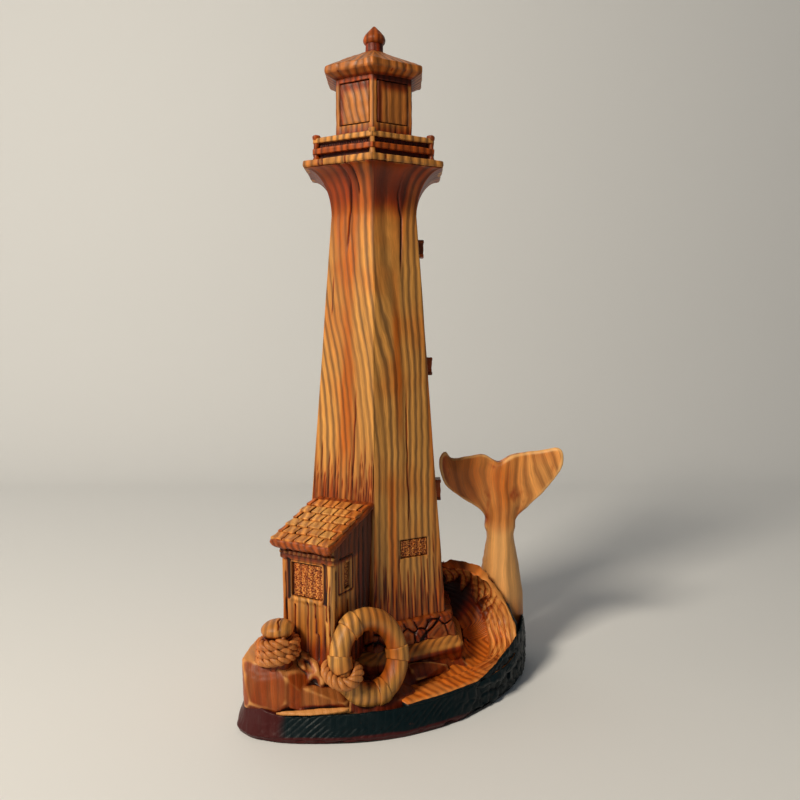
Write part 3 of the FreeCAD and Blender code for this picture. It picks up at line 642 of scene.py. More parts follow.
WOOD = carved_wood("carved_wood", srgb(216, 151, 74), srgb(132, 93, 50))
SHADED = carved_wood("shaded_wood", srgb(182, 116, 58), srgb(118, 72, 36), rust_all=0.35,
                     wash_reach=3.2, wash_strength=0.95)
SHINGLE = carved_wood("shingle_wood", srgb(232, 168, 88), srgb(166, 108, 54), wash_reach=2.0,
                      wash_strength=1.0, speckle=0.3)
STONE = carved_wood("stone_wood", srgb(168, 100, 50), srgb(108, 62, 32), rust_all=0.35,
                    wash_reach=2.2, wash_strength=1.0, roughness=0.36)
# The rock's pale colour serves for rubbed ridges and for painted top light on upward faces.
ROCK = carved_wood("rock_wood", srgb(166, 100, 48), srgb(100, 64, 34), pitch=3.6, contrast=0.45,
                   rust_all=0.2, wash_reach=4.0, wash_strength=0.95, speckle=0.15,
                   pale=srgb(226, 158, 88))
ROPE = carved_wood("rope_wood", srgb(208, 142, 78), srgb(160, 104, 56), pitch=4.2, contrast=0.7,
                   wash_reach=1.8, wash_strength=1.0)
WAVE = carved_wood("wave_wood", srgb(238, 164, 86), srgb(168, 104, 48), pitch=2.9,
                   wash_reach=3.0, wash_strength=0.95, painted=True)
TAIL = carved_wood("tail_wood", srgb(226, 158, 84), srgb(152, 98, 48), pitch=4.4, wander=4.0,
                   contrast=0.8, rust_all=0.1, wash_reach=2.0, painted=True,
                   pale=srgb(250, 194, 124))
FELT = felt_cloth("felt_underside")
SKIRT = carved_wood("sea_skirt", srgb(120, 76, 52), srgb(90, 58, 40), painted=True,
                    roughness=0.36, specular=0.16)


# ------------------------------------------------------------------ carving a skin
class Relief:
    """How far a skin's points are pushed, with the wash and rust that settle there."""

    def __init__(self, shape):
        self.push = np.zeros(shape)
        self.wash = np.zeros(shape)
        self.rust = np.zeros(shape)

    def deepen(self, amount, depth, wash):
        """Sinks the skin by depth where amount is 1, and lets wash gather there."""
        self.push -= amount * depth
        self.wash = np.maximum(self.wash, amount * wash)


def carve_line(skin, relief, face, line, width, depth, wash=1.0):
    """Cuts a tapering crack on one face along (s, z) points given from the bottom up."""
    columns = np.nonzero(skin.face[0] == face)[0]
    s, z = skin.s[:, columns], skin.z[:, columns]
    heights = np.array([point[1] for point in line])
    middle = np.interp(z, heights, [point[0] for point in line])
    middle = middle + 0.25 * noise(np.stack([z * 0, z * 0, z], -1), 6.0, int(abs(line[0][1])))
    length = heights[-1] - heights[0]
    ends = smooth(heights[0] - 0.5, heights[0] + 0.25 * length, z)
    ends = ends * (1 - smooth(heights[-1] - 0.3 * length, heights[-1] + 0.5, z))
    amount = ends * np.exp(-((s - middle) / width) ** 2)
    relief.push[:, columns] -= amount * depth
    relief.wash[:, columns] = np.maximum(relief.wash[:, columns], amount * wash)


def carve_grooves(skin, relief, face, bottom, tops, pitch, seed, depth=(0.4, 0.9)):
    """A rank of short upright grooves that rise unevenly from one level."""
    dice = np.random.RandomState(seed)
    half = float(np.abs(skin.s[:, skin.face[0] == face]).max())
    s = -half + pitch * dice.uniform(0.3, 1.0)
    while s < half:
        top = dice.uniform(*tops)
        drift = dice.uniform(-0.4, 0.4)
        carve_line(skin, relief, face, [(s, bottom), (s + drift, top)],
                   dice.uniform(0.2, 0.34), dice.uniform(*depth), dice.uniform(0.6, 1.0))
        s += pitch * dice.uniform(0.6, 1.5)


def sunk_box(s, z, left, right, low, high):
    """1 inside a rectangle on a face and 0 outside, with a steep wall between."""
    lip = 0.08
    return (smooth(left - lip, left + lip, s) * (1 - smooth(right - lip, right + lip, s))
            * smooth(low - lip, low + lip, z) * (1 - smooth(high - lip, high + lip, z)))


def snap(skin, face, edges, low, high):
    """Draws columns on one face to upright edges so that a recess there has crisp walls."""
    columns = np.nonzero(skin.face[0] == face)[0]
    turn = math.radians(60 * face - 30)
    side = np.array([math.cos(turn), math.sin(turn), 0.0])
    for row in np.nonzero((skin.z[:, 0] > low) & (skin.z[:, 0] < high))[0]:
        places = skin.s[row, columns]
        for edge in edges:
            order = np.argsort(np.abs(places - edge))[:2]
            below, above = sorted(order, key=lambda index: places[index])
            for index, target in ((below, edge - 0.1), (above, edge + 0.1)):
                column = columns[index]
                skin.points[row, column] += side * (target - skin.s[row, column])
                skin.s[row, column] = target
                places[index] = target


def add_levels(outline, levels):
    """An outline of (apothem, z) with rows added at exact heights."""
    extra = [[np.interp(level, outline[:, 1], outline[:, 0]), level] for level in levels]
    merged = np.concatenate([outline, np.array(extra)])
    return merged[np.argsort(merged[:, 1], kind="stable")]


def skin_piece(name, skin, relief, grain, extra=None):
    """The finished mesh of a carved skin."""
    fields = {"grain": grain, "along": skin.z, "wash": np.clip(relief.wash, 0, 1),
              "rust": np.clip(relief.rust, 0, 1)}
    fields.update(extra or {})
    return closed_grid(name, skin.pushed(relief.push), fields)


# ------------------------------------------------------------------ tower
TOWER_LOW, TOWER_HIGH = cad("tower_shaft")
FOOT_APOTHEM = TOWER_HIGH[0]
FOOT_LEVEL, DECK_LEVEL = TOWER_LOW[2], TOWER_HIGH[2]
NECK_APOTHEM, NECK_LEVEL = 19.0, 214.0
FLARE_OUT = 11.7
WINDOW_S = (-3.6, 10.5)
WINDOW_Z = (cad("tower_window_pane")[0][2], cad("tower_window_pane")[1][2])
TAN30 = math.tan(math.radians(30))


def tower_outline():
    """(apothem, z) from the foot up the straight batter and round the flare."""
    points = [(FOOT_APOTHEM * 0.2, FOOT_LEVEL - 0.6), (FOOT_APOTHEM, FOOT_LEVEL - 0.6)]
    rows = np.linspace(FOOT_LEVEL, NECK_LEVEL, 215)
    slope = (FOOT_APOTHEM - NECK_APOTHEM) / (NECK_LEVEL - FOOT_LEVEL)
    points += [(FOOT_APOTHEM - slope * (z - FOOT_LEVEL), z) for z in rows]
    rise = DECK_LEVEL - NECK_LEVEL
    for angle in np.radians(np.linspace(0, 88, 30))[1:]:
        points.append((NECK_APOTHEM + FLARE_OUT * (1 - math.cos(angle)),
                       NECK_LEVEL + rise * math.sin(angle)))
    points.append((NECK_APOTHEM, DECK_LEVEL))
    return np.array(points)


def tower_grain(skin):
    """Bands measured round the tower from its front corner, leaning in the upper half."""
    neck_half = NECK_APOTHEM * TAN30
    apothem = np.broadcast_to(skin.apothem, skin.s.shape)
    half = apothem * TAN30
    squeeze = np.where(skin.z > NECK_LEVEL, neck_half / half, 1.0)
    order = np.where(skin.face < 4, 2 * skin.face - 1, 2 * skin.face - 13)
    round_ = skin.s * squeeze + order * half * squeeze
    lean = 13 * smooth(105, 214, skin.z) * (1 - 0.65 * smooth(0, 16, round_))
    return round_ + lean + 0.9 * noise(np.stack([round_, 0 * round_, skin.z], -1), (9, 9, 46), 3)


def tower_stain(skin, relief):
    """Orange flames down the faces, a neck darkened by stain and by painted shade under the flare,
    less on the lit face 0, and a washed foot.
    """
    s, z = skin.s, skin.z
    column = np.stack([s + 40 * skin.face, 0 * s, z], -1)
    streaks = smooth(0.15, 0.75, noise(column, (5.5, 9, 70), 21))
    relief.rust += 0.75 * streaks
    flame = np.exp(-((s - 1.5) / (2.2 + 2.6 * smooth(165, 105, z))) ** 2)
    relief.rust += skin.on(0) * flame * smooth(168, 140, z) * smooth(92, 118, z)
    uneven = 0.75 + 0.25 * noise(column, (6, 9, 14), 5)
    # Under the flare the brown is stain and painted shade from the gallery; face 0, which faces the
    # light, gets less of it.
    under = smooth(207, 223, z)
    neck = np.exp(-((z - 222) / 17.0) ** 2)
    relief.rust += 0.9 * neck * uneven
    relief.wash = np.maximum(relief.wash, (0.72 - 0.14 * skin.on(0)) * under * uneven)
    foot = 1 - smooth(FOOT_LEVEL, FOOT_LEVEL + 26, z)
    relief.rust += 0.8 * foot
    low = foot ** 2 * (0.7 + 0.3 * noise(column, 3.0, 8))
    relief.wash = np.maximum(relief.wash, 0.35 * low)
    eaves = skin.on(0) * smooth(112, 88, z) ** 1.5 * smooth(80, 86, z)
    relief.wash = np.maximum(relief.wash, 0.4 * eaves * (0.8 + 0.3 * noise(column, 3.0, 9)))
    relief.rust += 0.4 * eaves


# The long cracks: face, (s, z) points from the bottom up, width and depth.
TOWER_CRACKS = [
    (0, [(-1.7, 196), (-1.3, 213.6), (0.1, 221), (1.3, 228), (-0.2, 236)], 0.42, 1.1),
    (0, [(4.6, 221), (4.8, 227), (4.4, 236)], 0.4, 0.9),
    (1, [(1.4, 186), (2.2, 198), (3.1, 213), (0.8, 222), (1.4, 230), (2.2, 236)], 0.36, 0.9),
    (1, [(0.9, 68), (1.6, 90), (1.5, 104), (2.0, 117), (2.3, 144)], 0.3, 0.8),
    (0, [(4.6, 82), (5.0, 96), (5.4, 112), (5.4, 142)], 0.34, 0.8),
    (0, [(-9.0, 168), (-8.4, 190)], 0.22, 0.3),
    (2, [(-3, 92), (-2, 128)], 0.34, 0.7), (2, [(4, 205), (2, 218), (3, 232)], 0.36, 0.9),
    (3, [(2, 80), (0, 122)], 0.36, 0.8), (3, [(-3, 200), (-2, 215), (-4, 233)], 0.36, 0.9),
    (4, [(-4, 70), (-2, 108)], 0.34, 0.7), (4, [(3, 196), (2, 214), (4, 233)], 0.38, 1.0),
    (5, [(5, 96), (4, 140)], 0.34, 0.7), (5, [(-2, 203), (-1, 216), (0, 233)], 0.36, 0.9),
]


def make_tower():
    """The shaft with its cracks, foot grooves, window recess, and a flare darkened by stain and
    painted shade.
    """
    outline = add_levels(tower_outline(), [WINDOW_Z[0] - 0.1, WINDOW_Z[0] + 0.1,
                                           WINDOW_Z[1] - 0.1, WINDOW_Z[1] + 0.1])
    skin = HexSkin(outline, 0.9, 64)
    snap(skin, 1, WINDOW_S, WINDOW_Z[0] - 1.5, WINDOW_Z[1] + 1.5)
    relief = Relief(skin.s.shape)
    where = np.stack([skin.s + 50 * skin.face, 0 * skin.s, skin.z], -1)
    relief.push += 0.16 * noise(where, (7, 9, 30), 2) + 0.07 * noise(where, (1.6, 9, 22), 4)
    for face in range(6):
        carve_grooves(skin, relief, face, FOOT_LEVEL - 3, (42, 64), 1.6, 31 + face)
        carve_grooves(skin, relief, face, FOOT_LEVEL + 4, (58, 82), 5.0, 61 + face, (0.2, 0.5))
    carve_grooves(skin, relief, 0, 84, (98, 118), 1.5, 71, (0.5, 0.9))
    for face, line, width, depth in TOWER_CRACKS:
        carve_line(skin, relief, face, line, width, depth)
    hole = skin.on(1) * sunk_box(skin.s, skin.z, *WINDOW_S, *WINDOW_Z)
    relief.deepen(hole, 2.2, 0.8)
    tower_stain(skin, relief)
    return skin_piece("tower_shaft_carved", skin, relief, tower_grain(skin))


settle(make_tower(), WOOD, "carved_wood_effect", "tower_shaft")


# ------------------------------------------------------------------ deck, rails and roof
# How far the corners of the gallery's rails, posts and parapet stand from the axis.
RAIL_CORNER, POST_RADIUS, PARAPET_CORNER = 30.2, 29.0, 28.4
BEAD_LEVEL, BEAD_PITCH = 243.4, 1.25
# The sunk bed in each face of the lamp room: half its width, and its lowest and highest level.
BED_HALF, BED_LOW, BED_HIGH = 7.8, 253.3, 271.6


def loop_outline(inner, outer, low, high, radius, step=0.45):
    """A closed rounded rectangle in (apothem, z), climbing on its outer side."""
    middle = (inner + outer) / 2
    corners = [(middle, low), (outer, low), (outer, high), (inner, high), (inner, low),
               (middle, low)]
    return rounded(corners, radius, step)


def ring_skin(name, skin, relief, grain):
    """A skin whose rows close on themselves, such as a rail round the gallery."""
    fields = {"grain": grain, "along": skin.z, "wash": relief.wash, "rust": relief.rust}
    fields = {field: values[:-1] for field, values in fields.items()}
    return looped_grid(name, skin.pushed(relief.push)[:-1], fields)


def rumple(skin, relief, depth, cell, seed):
    """The slight unevenness of a hand-cut surface."""
    relief.push += depth * noise(skin.points, cell, seed)


def make_deck():
    """The gallery floor's rim, split here and there, with short upright bands."""
    low, high = cad("gallery_deck")
    apothem = high[0]
    outline = rounded([(18, low[2] + 0.1), (apothem - 0.9, low[2] - 0.1), (apothem, low[2] + 0.8),
                       (apothem - 0.1, high[2] - 0.2), (apothem - 0.9, high[2]), (14, high[2])],
                      0.5, 0.5)
    skin = HexSkin(outline, 0.8, 56)
    relief = Relief(skin.s.shape)
    rumple(skin, relief, 0.25, (6, 6, 6), 11)
    rumple(skin, relief, 0.1, (1.6, 1.6, 1.6), 12)
    splits = [(0, -8.2, 0.3, 0.9), (0, -9.9, 0.2, 0.4), (1, 2.2, 0.22, 0.6), (0, 3.9, 0.22, 0.6),
              (1, -11.4, 0.2, 0.4), (2, 5.0, 0.3, 0.9), (3, -6.0, 0.3, 0.9), (4, 8.0, 0.3, 0.8),
              (5, 1.0, 0.3, 0.8)]
    for face, s, width, depth in splits:
        carve_line(skin, relief, face, [(s, low[2] - 1), (s + 0.3, high[2] + 1)], width, depth)
    relief.rust += 0.3 + 0.5 * smooth(apothem - 2, apothem - 7, skin.apothem)
    relief.wash += 0.5 * smooth(apothem - 3, apothem - 6, skin.apothem) * (skin.z > low[2] + 2)
    grain = 0.85 * skin.s + 31 * skin.face + 1.2 * noise(skin.points, 8.0, 13)
    return skin_piece("gallery_deck_carved", skin, relief, grain)


def make_rail(node, width, swell, rust, wash, seed):
    """One rail round the gallery."""
    low, high = cad(node)
    apothem = RAIL_CORNER * math.cos(math.radians(30))
    outline = loop_outline(apothem - width, apothem + swell, low[2], high[2], 0.7)
    skin = HexSkin(outline, 0.8, 44)
    relief = Relief(skin.s.shape)
    rumple(skin, relief, 0.22, (5, 5, 3), seed)
    rumple(skin, relief, 0.08, (1.4, 1.4, 1.4), seed + 1)
    relief.rust += rust
    relief.wash += wash
    return ring_skin(node + "_carved", skin, relief, 0.95 * skin.s + 17 * skin.face + seed)


def make_parapet():
    """The dark wall behind the rails, studded with a row of beads between them."""
    low, high = cad("gallery_parapet")
    apothem = PARAPET_CORNER * math.cos(math.radians(30))
    outline = loop_outline(apothem - 1.6, apothem, low[2], high[2] + 1.4, 0.3, 0.3)
    skin = HexSkin(outline, 0.5, 84)
    relief = Relief(skin.s.shape)
    bead = np.cos(skin.s * 2 * math.pi / BEAD_PITCH + 0.6 * noise(skin.points, 3, 5))
    level = np.exp(-((skin.z - BEAD_LEVEL) / 0.55) ** 2)
    relief.push += 0.4 * bead * level
    relief.wash += 0.72 - 0.3 * smooth(0.2, 0.9, bead * level)
    relief.rust += 1.0
    return ring_skin("gallery_parapet_carved", skin, relief, skin.s)


def turned(name, centre, profile, fields, *, count, wobble, seed, squareness=2.0, turn=0.0):
    """A column about an upright axis through (radius, z) points; squareness 2 is round."""
    profile = rounded(profile, 0.5, 0.4)
    angle = np.radians(np.linspace(0, 360, count, endpoint=False))
    around = (np.abs(np.cos(angle)) ** squareness + np.abs(np.sin(angle)) ** squareness)
    around = around ** (-1 / squareness)
    x = profile[:, :1] * (around * np.cos(angle))[None]
    y = profile[:, :1] * (around * np.sin(angle))[None]
    t = math.radians(turn)
    grid = np.stack([centre[0] + x * math.cos(t) - y * math.sin(t),
                     centre[1] + x * math.sin(t) + y * math.cos(t),
                     np.broadcast_to(profile[:, 1:], x.shape)], -1)
    grid = grid + (grid_normals(grid) * (wobble * noise(grid, 2.2, seed))[..., None])
    values = {"grain": x * 1.3 + seed, "along": grid[..., 2]}
    values.update(fields)
    return closed_grid(name, grid, values)


def make_posts():
    """Six square posts with flared feet and small caps, rubbed pale at the front."""
    low, high = cad("gallery_posts")
    z, top = low[2] - 0.2, high[2]
    profile = [(0.3, z), (1.75, z), (1.7, z + 0.8), (1.15, z + 2.4), (1.1, top - 3.4),
               (1.25, top - 2.4), (1.6, top - 1.8), (1.65, top - 0.5), (1.1, top), (0.2, top)]
    posts = []
    for corner in range(6):
        turn = 60 * corner
        centre = (POST_RADIUS * math.sin(math.radians(turn)),
                  -POST_RADIUS * math.cos(math.radians(turn)))
        front = corner == 0
        posts.append(turned(f"post_{corner}", centre, profile,
                            {"rust": 0.3 if front else 0.9, "wash": 0.0 if front else 0.35},
                            count=24, wobble=0.15, seed=40 + corner, squareness=3.2,
                            turn=turn))
    return join("gallery_posts_carved", posts)


def make_lantern():
    """The lamp room's walls with a sunk bed for each panel, a stained sill, and a header browned by
    stain and painted shade.
    """
    low, high = cad("lantern_room")
    apothem = high[0]
    edges = [253.2, 253.4, 271.5, 271.7]
    outline = rounded([(4, low[2] - 0.2), (apothem + 0.1, low[2] - 0.2), (apothem, high[2] + 0.3),
                       (4, high[2] + 0.3)], 0.3, 0.45)
    skin = HexSkin(add_levels(outline[3:-3], edges), 0.7, 52)
    for face in range(6):
        snap(skin, face, (-BED_HALF, BED_HALF), 252.0, 273.0)
    relief = Relief(skin.s.shape)
    rumple(skin, relief, 0.22, (5, 5, 8), 14)
    rumple(skin, relief, 0.08, (1.3, 1.3, 3), 15)
    relief.deepen(sunk_box(skin.s, skin.z, -BED_HALF, BED_HALF, BED_LOW, BED_HIGH), 1.3, 1.0)
    for face, s in ((1, 1.5), (0, -3.5), (3, 2.0), (4, -4.0)):
        carve_line(skin, relief, face, [(s, 240), (s + 0.3, 253.4)], 0.22, 0.6)
    header = smooth(270.0, 272.4, skin.z)
    sill = 1 - smooth(248, 254, skin.z)
    # Painted shade: the header is washed less on face 0, which faces the light, than on the other
    # faces.
    shaded = 0.35 + 0.65 * (1 - skin.on(0))
    relief.rust += np.clip(0.9 * header + 0.55 * sill, 0, 1) + 0.3
    relief.wash = np.maximum(relief.wash, 0.2 + 0.6 * header * shaded + 0.3 * sill)
    return skin_piece("lantern_room_carved", skin, relief, 1.15 * skin.s + 0.03 * skin.z
                      + 29 * skin.face)


def face_frame(turn, x, y, z, lean=0.0):
    """Origin and axes of a place in a tower face's frame, tipped about that frame's X."""
    t, a = math.radians(turn), math.radians(lean)
    spin = np.array([[math.cos(t), -math.sin(t), 0], [math.sin(t), math.cos(t), 0], [0, 0, 1]])
    tip = np.array([[1, 0, 0], [0, math.cos(a), -math.sin(a)], [0, math.sin(a), math.cos(a)]])
    return spin @ np.array([x, y, z], dtype=float), spin @ tip


def block(name, frame, half, *, edge, step, wobble, seed, grain=(1, 0, 0), warp=0.0, **fields):
    """A rounded block with slightly uneven sides; half is its half size on each local axis."""
    half = np.array(half, dtype=float)
    edge = min(edge, half.min() * 0.8)
    corners = [(half[0], -half[1]), (half[0], half[1]), (-half[0], half[1]), (-half[0], -half[1])]
    start = (half[0], 0.0)
    loop = rounded([start] + corners[1:] + corners[:1] + [start], edge, step)[:-1]
    ends = np.radians([0, 30, 60, 90])
    inset = [edge * (1 - math.sin(a)) for a in ends]
    level = [half[2] - edge * (1 - math.cos(a)) for a in ends]
    middle = np.linspace(-level[-1], level[-1], max(3, int(2 * half[2] / step)))[1:-1]
    inner = [0.25, 0.5, 0.75]
    rows = [(-half[2], edge, f) for f in inner]
    rows += [(-z, i, 1) for z, i in zip(level, inset)]
    rows += [(z, 0.0, 1) for z in middle]
    rows += [(z, i, 1) for z, i in zip(level[::-1], inset[::-1])]
    rows += [(half[2], edge, f) for f in inner[::-1]]
    local = []
    for z, cut, size in rows:
        flat = loop * size * (1 - cut / half[:2])
        local.append(np.column_stack([flat, np.full(len(flat), z)]))
    local = np.array(local)
    origin, axes = frame
    grid = local @ axes.T + origin
    push = wobble * noise(grid, 2.6, seed) + 0.4 * wobble * noise(grid, 0.9, seed + 1)
    grid = grid + grid_normals(grid) * push[..., None]
    across = local @ np.array(grain, dtype=float) + warp * noise(grid, 7.0, seed + 2)
    values = {"grain": across + 13.7 * seed, "along": local[..., 2]}
    for field, value in fields.items():
        values[field] = value(local) if callable(value) else np.full(across.shape, value)
    return closed_grid(name, grid, values)


def panel_stain_and_shadow(local):
    """An even brown stain, and painted shadow along a panel's top and left edges, where the lip of
    its bed shades it.
    """
    top = smooth(3.5, 8.5, local[..., 2])
    left = smooth(-4.5, -7.5, local[..., 0])
    return 0.22 + 0.45 * np.maximum(top, left)


def make_panels():
    """Six panels that stand almost flush in their beds, each with its own run of grain."""
    panels = []
    for face in range(6):
        frame = face_frame(60 * face - 30, 0.15, -16.1, 262.3)
        lean = (1, 0, 0.28) if face == 0 else (1, 0, 0.03)
        panels.append(block(f"panel_{face}", frame, (7.45, 0.85, 8.75), edge=0.3, step=0.7,
                            wobble=0.12, seed=50 + face, grain=lean, warp=0.5, rust=0.35,
                            wash=panel_stain_and_shadow))
    return join("lantern_panels_carved", panels)


def make_roof():
    """A low hexagonal roof: undercut soffit, banded rim and slopes up to the finial."""
    low, high = cad("lantern_roof")
    rim = high[0]
    z = low[2]
    outline = rounded([(10, z - 0.1), (17.2, z - 0.1), (rim - 0.4, z + 1.9), (rim, z + 2.6),
                       (rim - 0.1, z + 4.9), (rim - 0.6, z + 5.3), (4.3, high[2] - 0.1),
                       (1.5, high[2])], 0.32, 0.4)
    skin = HexSkin(outline, 1.0, 48)
    relief = Relief(skin.s.shape)
    rumple(skin, relief, 0.3, (6, 6, 5), 16)
    rumple(skin, relief, 0.1, (1.5, 1.5, 1.5), 17)
    for face, s, width in ((0, -5.5, 0.2), (1, 4.2, 0.18), (1, -2.0, 0.16), (3, 1, 0.2)):
        carve_line(skin, relief, face, [(s, z), (s + 0.2, z + 6)], width, 0.35, 0.7)
    under = 1 - smooth(z + 1.6, z + 2.6, skin.z)
    relief.rust += 0.35 * under + 0.25
    relief.wash = np.maximum(relief.wash, 0.28 + 0.3 * under * smooth(19, 17.3, skin.apothem))
    grain = skin.s * (0.45 + 0.55 * rim / np.maximum(skin.apothem, 4)) * 0.8
    grain = grain + 1.2 * noise(skin.points, 8.0, 19)
    return skin_piece("lantern_roof_carved", skin, relief, grain + 23 * skin.face)


def make_finial():
    """A short neck and an onion-shaped knob with a blunt point."""
    low = cad("finial_stem")[0][2]
    neck = turned("finial_neck", (0, 0), [(1, low - 0.4), (4.5, low - 0.4), (4.1, low + 0.8),
                                          (4.0, low + 4.1), (1, low + 4.3)],
                  {"rust": 1.0, "wash": 0.6}, count=40, wobble=0.1, seed=61)
    low, high = cad("finial_ball")
    z, top = low[2] - 0.3, high[2]
    knob = turned("finial_knob", (0, 0), [(1, z), (4.2, z), (5.0, z + 0.9), (5.2, z + 2.0),
                                          (4.7, z + 3.6), (3.2, z + 5.4), (1.7, z + 6.9),
                                          (0.7, top - 0.25), (0.1, top)],
                  {"rust": 0.75, "wash": 0.12}, count=48, wobble=0.12, seed=62)
    return neck, knob


settle(make_deck(), WOOD, "carved_wood_effect", "gallery_deck")
settle(make_rail("gallery_rail_mid", 1.5, 0.7, 1.0, 0.3, 22), WOOD, "carved_wood_effect",
       "gallery_rail_mid")
settle(make_rail("gallery_rail_top", 1.6, 0.5, 0.2, 0.0, 24), WOOD, "carved_wood_effect",
       "gallery_rail_top")
settle(make_parapet(), SHADED, "shaded_wood_effect", "gallery_parapet")
settle(make_posts(), WOOD, "carved_wood_effect", "gallery_posts")
settle(make_lantern(), WOOD, "carved_wood_effect", "lantern_room")
settle(make_panels(), WOOD, "carved_wood_effect", "lantern_panels")
settle(make_roof(), WOOD, "carved_wood_effect", "lantern_roof")
neck, knob = make_finial()
settle(neck, WOOD, "carved_wood_effect", "finial_stem")
settle(knob, SHADED, "shaded_wood_effect", "finial_ball")


# ------------------------------------------------------------------ pits, pebbles and clay skins
def cells(points, size, seed=0):
    """Distances to the nearest and second nearest of scattered centres, and the nearest's
    own repeatable number from 0 to 1."""
    scaled = np.asarray(points) / size
    base = np.floor(scaled).astype(np.int64)
    first = np.full(scaled.shape[:-1], 9.0)
    second = first.copy()
    number = np.zeros_like(first)
    for corner in range(27):
        index = base + np.array([corner % 3 - 1, corner // 3 % 3 - 1, corner // 9 - 1])
        centre = np.stack([index[..., i] + 0.5 + 0.42 * lattice(
            index[..., 0], index[..., 1], index[..., 2], seed + 5 * i) for i in range(3)], -1)
        away = np.linalg.norm(scaled - centre, axis=-1)
        own = lattice(index[..., 0], index[..., 1], index[..., 2], seed + 77) * 0.5 + 0.5
        closer = away < first
        second = np.where(closer, first, np.minimum(second, away))
        number = np.where(closer, own, number)
        first = np.where(closer, away, first)
    return first, second, number


def brick(points, low, high, radius):
    """Distance to a box between two corners, with rounded edges."""
    low, high = np.array(low, dtype=float), np.array(high, dtype=float)
    away = np.abs(points - (low + high) / 2) - (high - low) / 2 + radius
    outside = np.linalg.norm(np.maximum(away, 0), axis=-1)
    return outside + np.minimum(away.max(axis=-1), 0) - radius


def clay_piece(name, clay, look, push, reach, depth=0.3):
    """The clay's skin as a piece.  push(points) moves the skin out by a distance and
    look(points) gives its fields; hollows gather wash and ridges are rubbed pale, and
    surfaces that face up are paled as painted top light, as far as the look's "tops" says."""
    points, faces, way = clay.surface()
    fields = look(points)
    out = push(points)
    lift = clay.lift(points, reach) + 0.5 * np.minimum(out, 0)
    points = points + way * out[:, None]
    hollow = smooth(0.06, depth, -lift)
    fields["wash"] = np.clip(np.maximum(hollow, fields.get("wash", 0)), 0, 1)
    # Painted top light: faces that look up are paled as far as the look's tops asks.
    tops = fields.pop("tops", 0) * smooth(0.5, 0.95, way[:, 2])
    wear_and_top_light = np.maximum(tops, fields.get("wear_and_top_light", 0))
    fields["wear_and_top_light"] = np.maximum(smooth(0.08, depth, lift), wear_and_top_light)
    fields["rust"] = np.clip(fields.get("rust", 0) + 0 * hollow, 0, 1)
    fields["paint"] = np.clip(fields.get("paint", 0) + 0 * hollow, 0, 1)
    return make_mesh(name, clay.to_row_frame(points), faces, fields)


# ------------------------------------------------------------------ annex
ANNEX_TURN = -30.0
ROOF_ANGLE = 21.0
ROOF_PITCH = math.tan(math.radians(ROOF_ANGLE))
EAVE_OUT, EAVE_LEVEL = 60.6, 73.6
ROOF_LEFT, ROOF_RIGHT = -13.4, 16.4
SHINGLE_TILT = 9


def upright_cracks(x, z, lines, width, depth):
    """How deep thin upright cracks cut, for lines of (place along x, low, high)."""
    total = np.zeros(x.shape)
    for place, low, high in lines:
        wave = place + 0.3 * noise(np.stack([0 * x, 0 * x, z], -1), 6.0, int(abs(place) * 7))
        ends = smooth(low - 1, low + 1.5, z) * (1 - smooth(high - 1.5, high + 1, z))
        total = np.maximum(total, depth * ends * np.exp(-((x - wave) / width) ** 2))
    return total


FRONT_CRACKS = [(-3.6, 26, 49), (3.1, 20, 52), (7.0, 38, 51.6), (8.3, 27, 38), (-8.2, 40, 63),
                (14.0, 28, 60), (12.6, 44, 68)]
SIDE_CRACKS = [(-56.3, 30, 66), (-42.0, 26, 60), (-39.5, 40, 76), (-36.0, 30, 80),
               (-48.0, 26, 52)]


def annex_push(p):
    """Weathered planks: ridges along the grain, cracks, and posts set off by grooves."""
    x, y, z = p[:, 0], p[:, 1], p[:, 2]
    front, side = smooth(-57.4, -58.0, y), smooth(15.2, 15.8, x)
    wood = front * (1 - smooth(68, 69, z))
    ridges = noise(np.stack([x, 0 * x, z / 16], -1), 1.15, 3) * wood
    ridges += noise(np.stack([y, 0 * x, z / 16], -1), 1.2, 4) * side
    post = smooth(0.4, 1.3, np.abs(x + 6.6)) * smooth(0.3, 1.1, np.abs(x - 11.4))
    below = 1 - smooth(50.5, 51.5, z)
    push = 0.2 * ridges + 0.2 * noise(p, (5, 5, 12), 6) - (1 - post) * wood * (
        0.8 - 0.6 * below)
    push -= upright_cracks(x, z, FRONT_CRACKS, 0.32, 1.6) * wood * (0.4 + 0.6 * below)
    push -= upright_cracks(y, z, SIDE_CRACKS, 0.3, 0.9) * side
    bead = np.exp(-((z - 71.3) / 0.9) ** 2) * smooth(-58, -58.8, y)
    push += 0.4 * bead * np.cos(x * 2.6 + noise(p, 3, 7))
    outline = brick(p, (12, -54.2, 55.0), (30, -44.0, 69.8), 0.5)
    return push - 0.8 * np.exp(-(outline / 0.35) ** 2) * side


def annex_look(p):
    """Brown towards the tower, painted shadow under the eave, orange streaks, a pale corner post.
    """
    x, y, z = p[:, 0], p[:, 1], p[:, 2]
    # The band just under the eave is painted shadow cast by the eave.
    wash = np.maximum(0.75 * smooth(-48, -34, y), 0.7 * smooth(66.5, 70, z))
    wash = np.maximum(wash, 0.5 * smooth(40, 30, z))
    streak = smooth(-0.1, 0.6, noise(p * (1, 1, 0.08), 3.4, 5))
    pale = smooth(11, 13, x) * (y < -57)
    rust = 0.1 + 0.45 * streak + 0.4 * smooth(50, 34, z) - 0.5 * pale
    grain = x + 0.95 * y + 0.8 * noise(p, (6, 6, 24), 8)
    return {"grain": grain, "along": z, "wash": wash, "rust": rust}


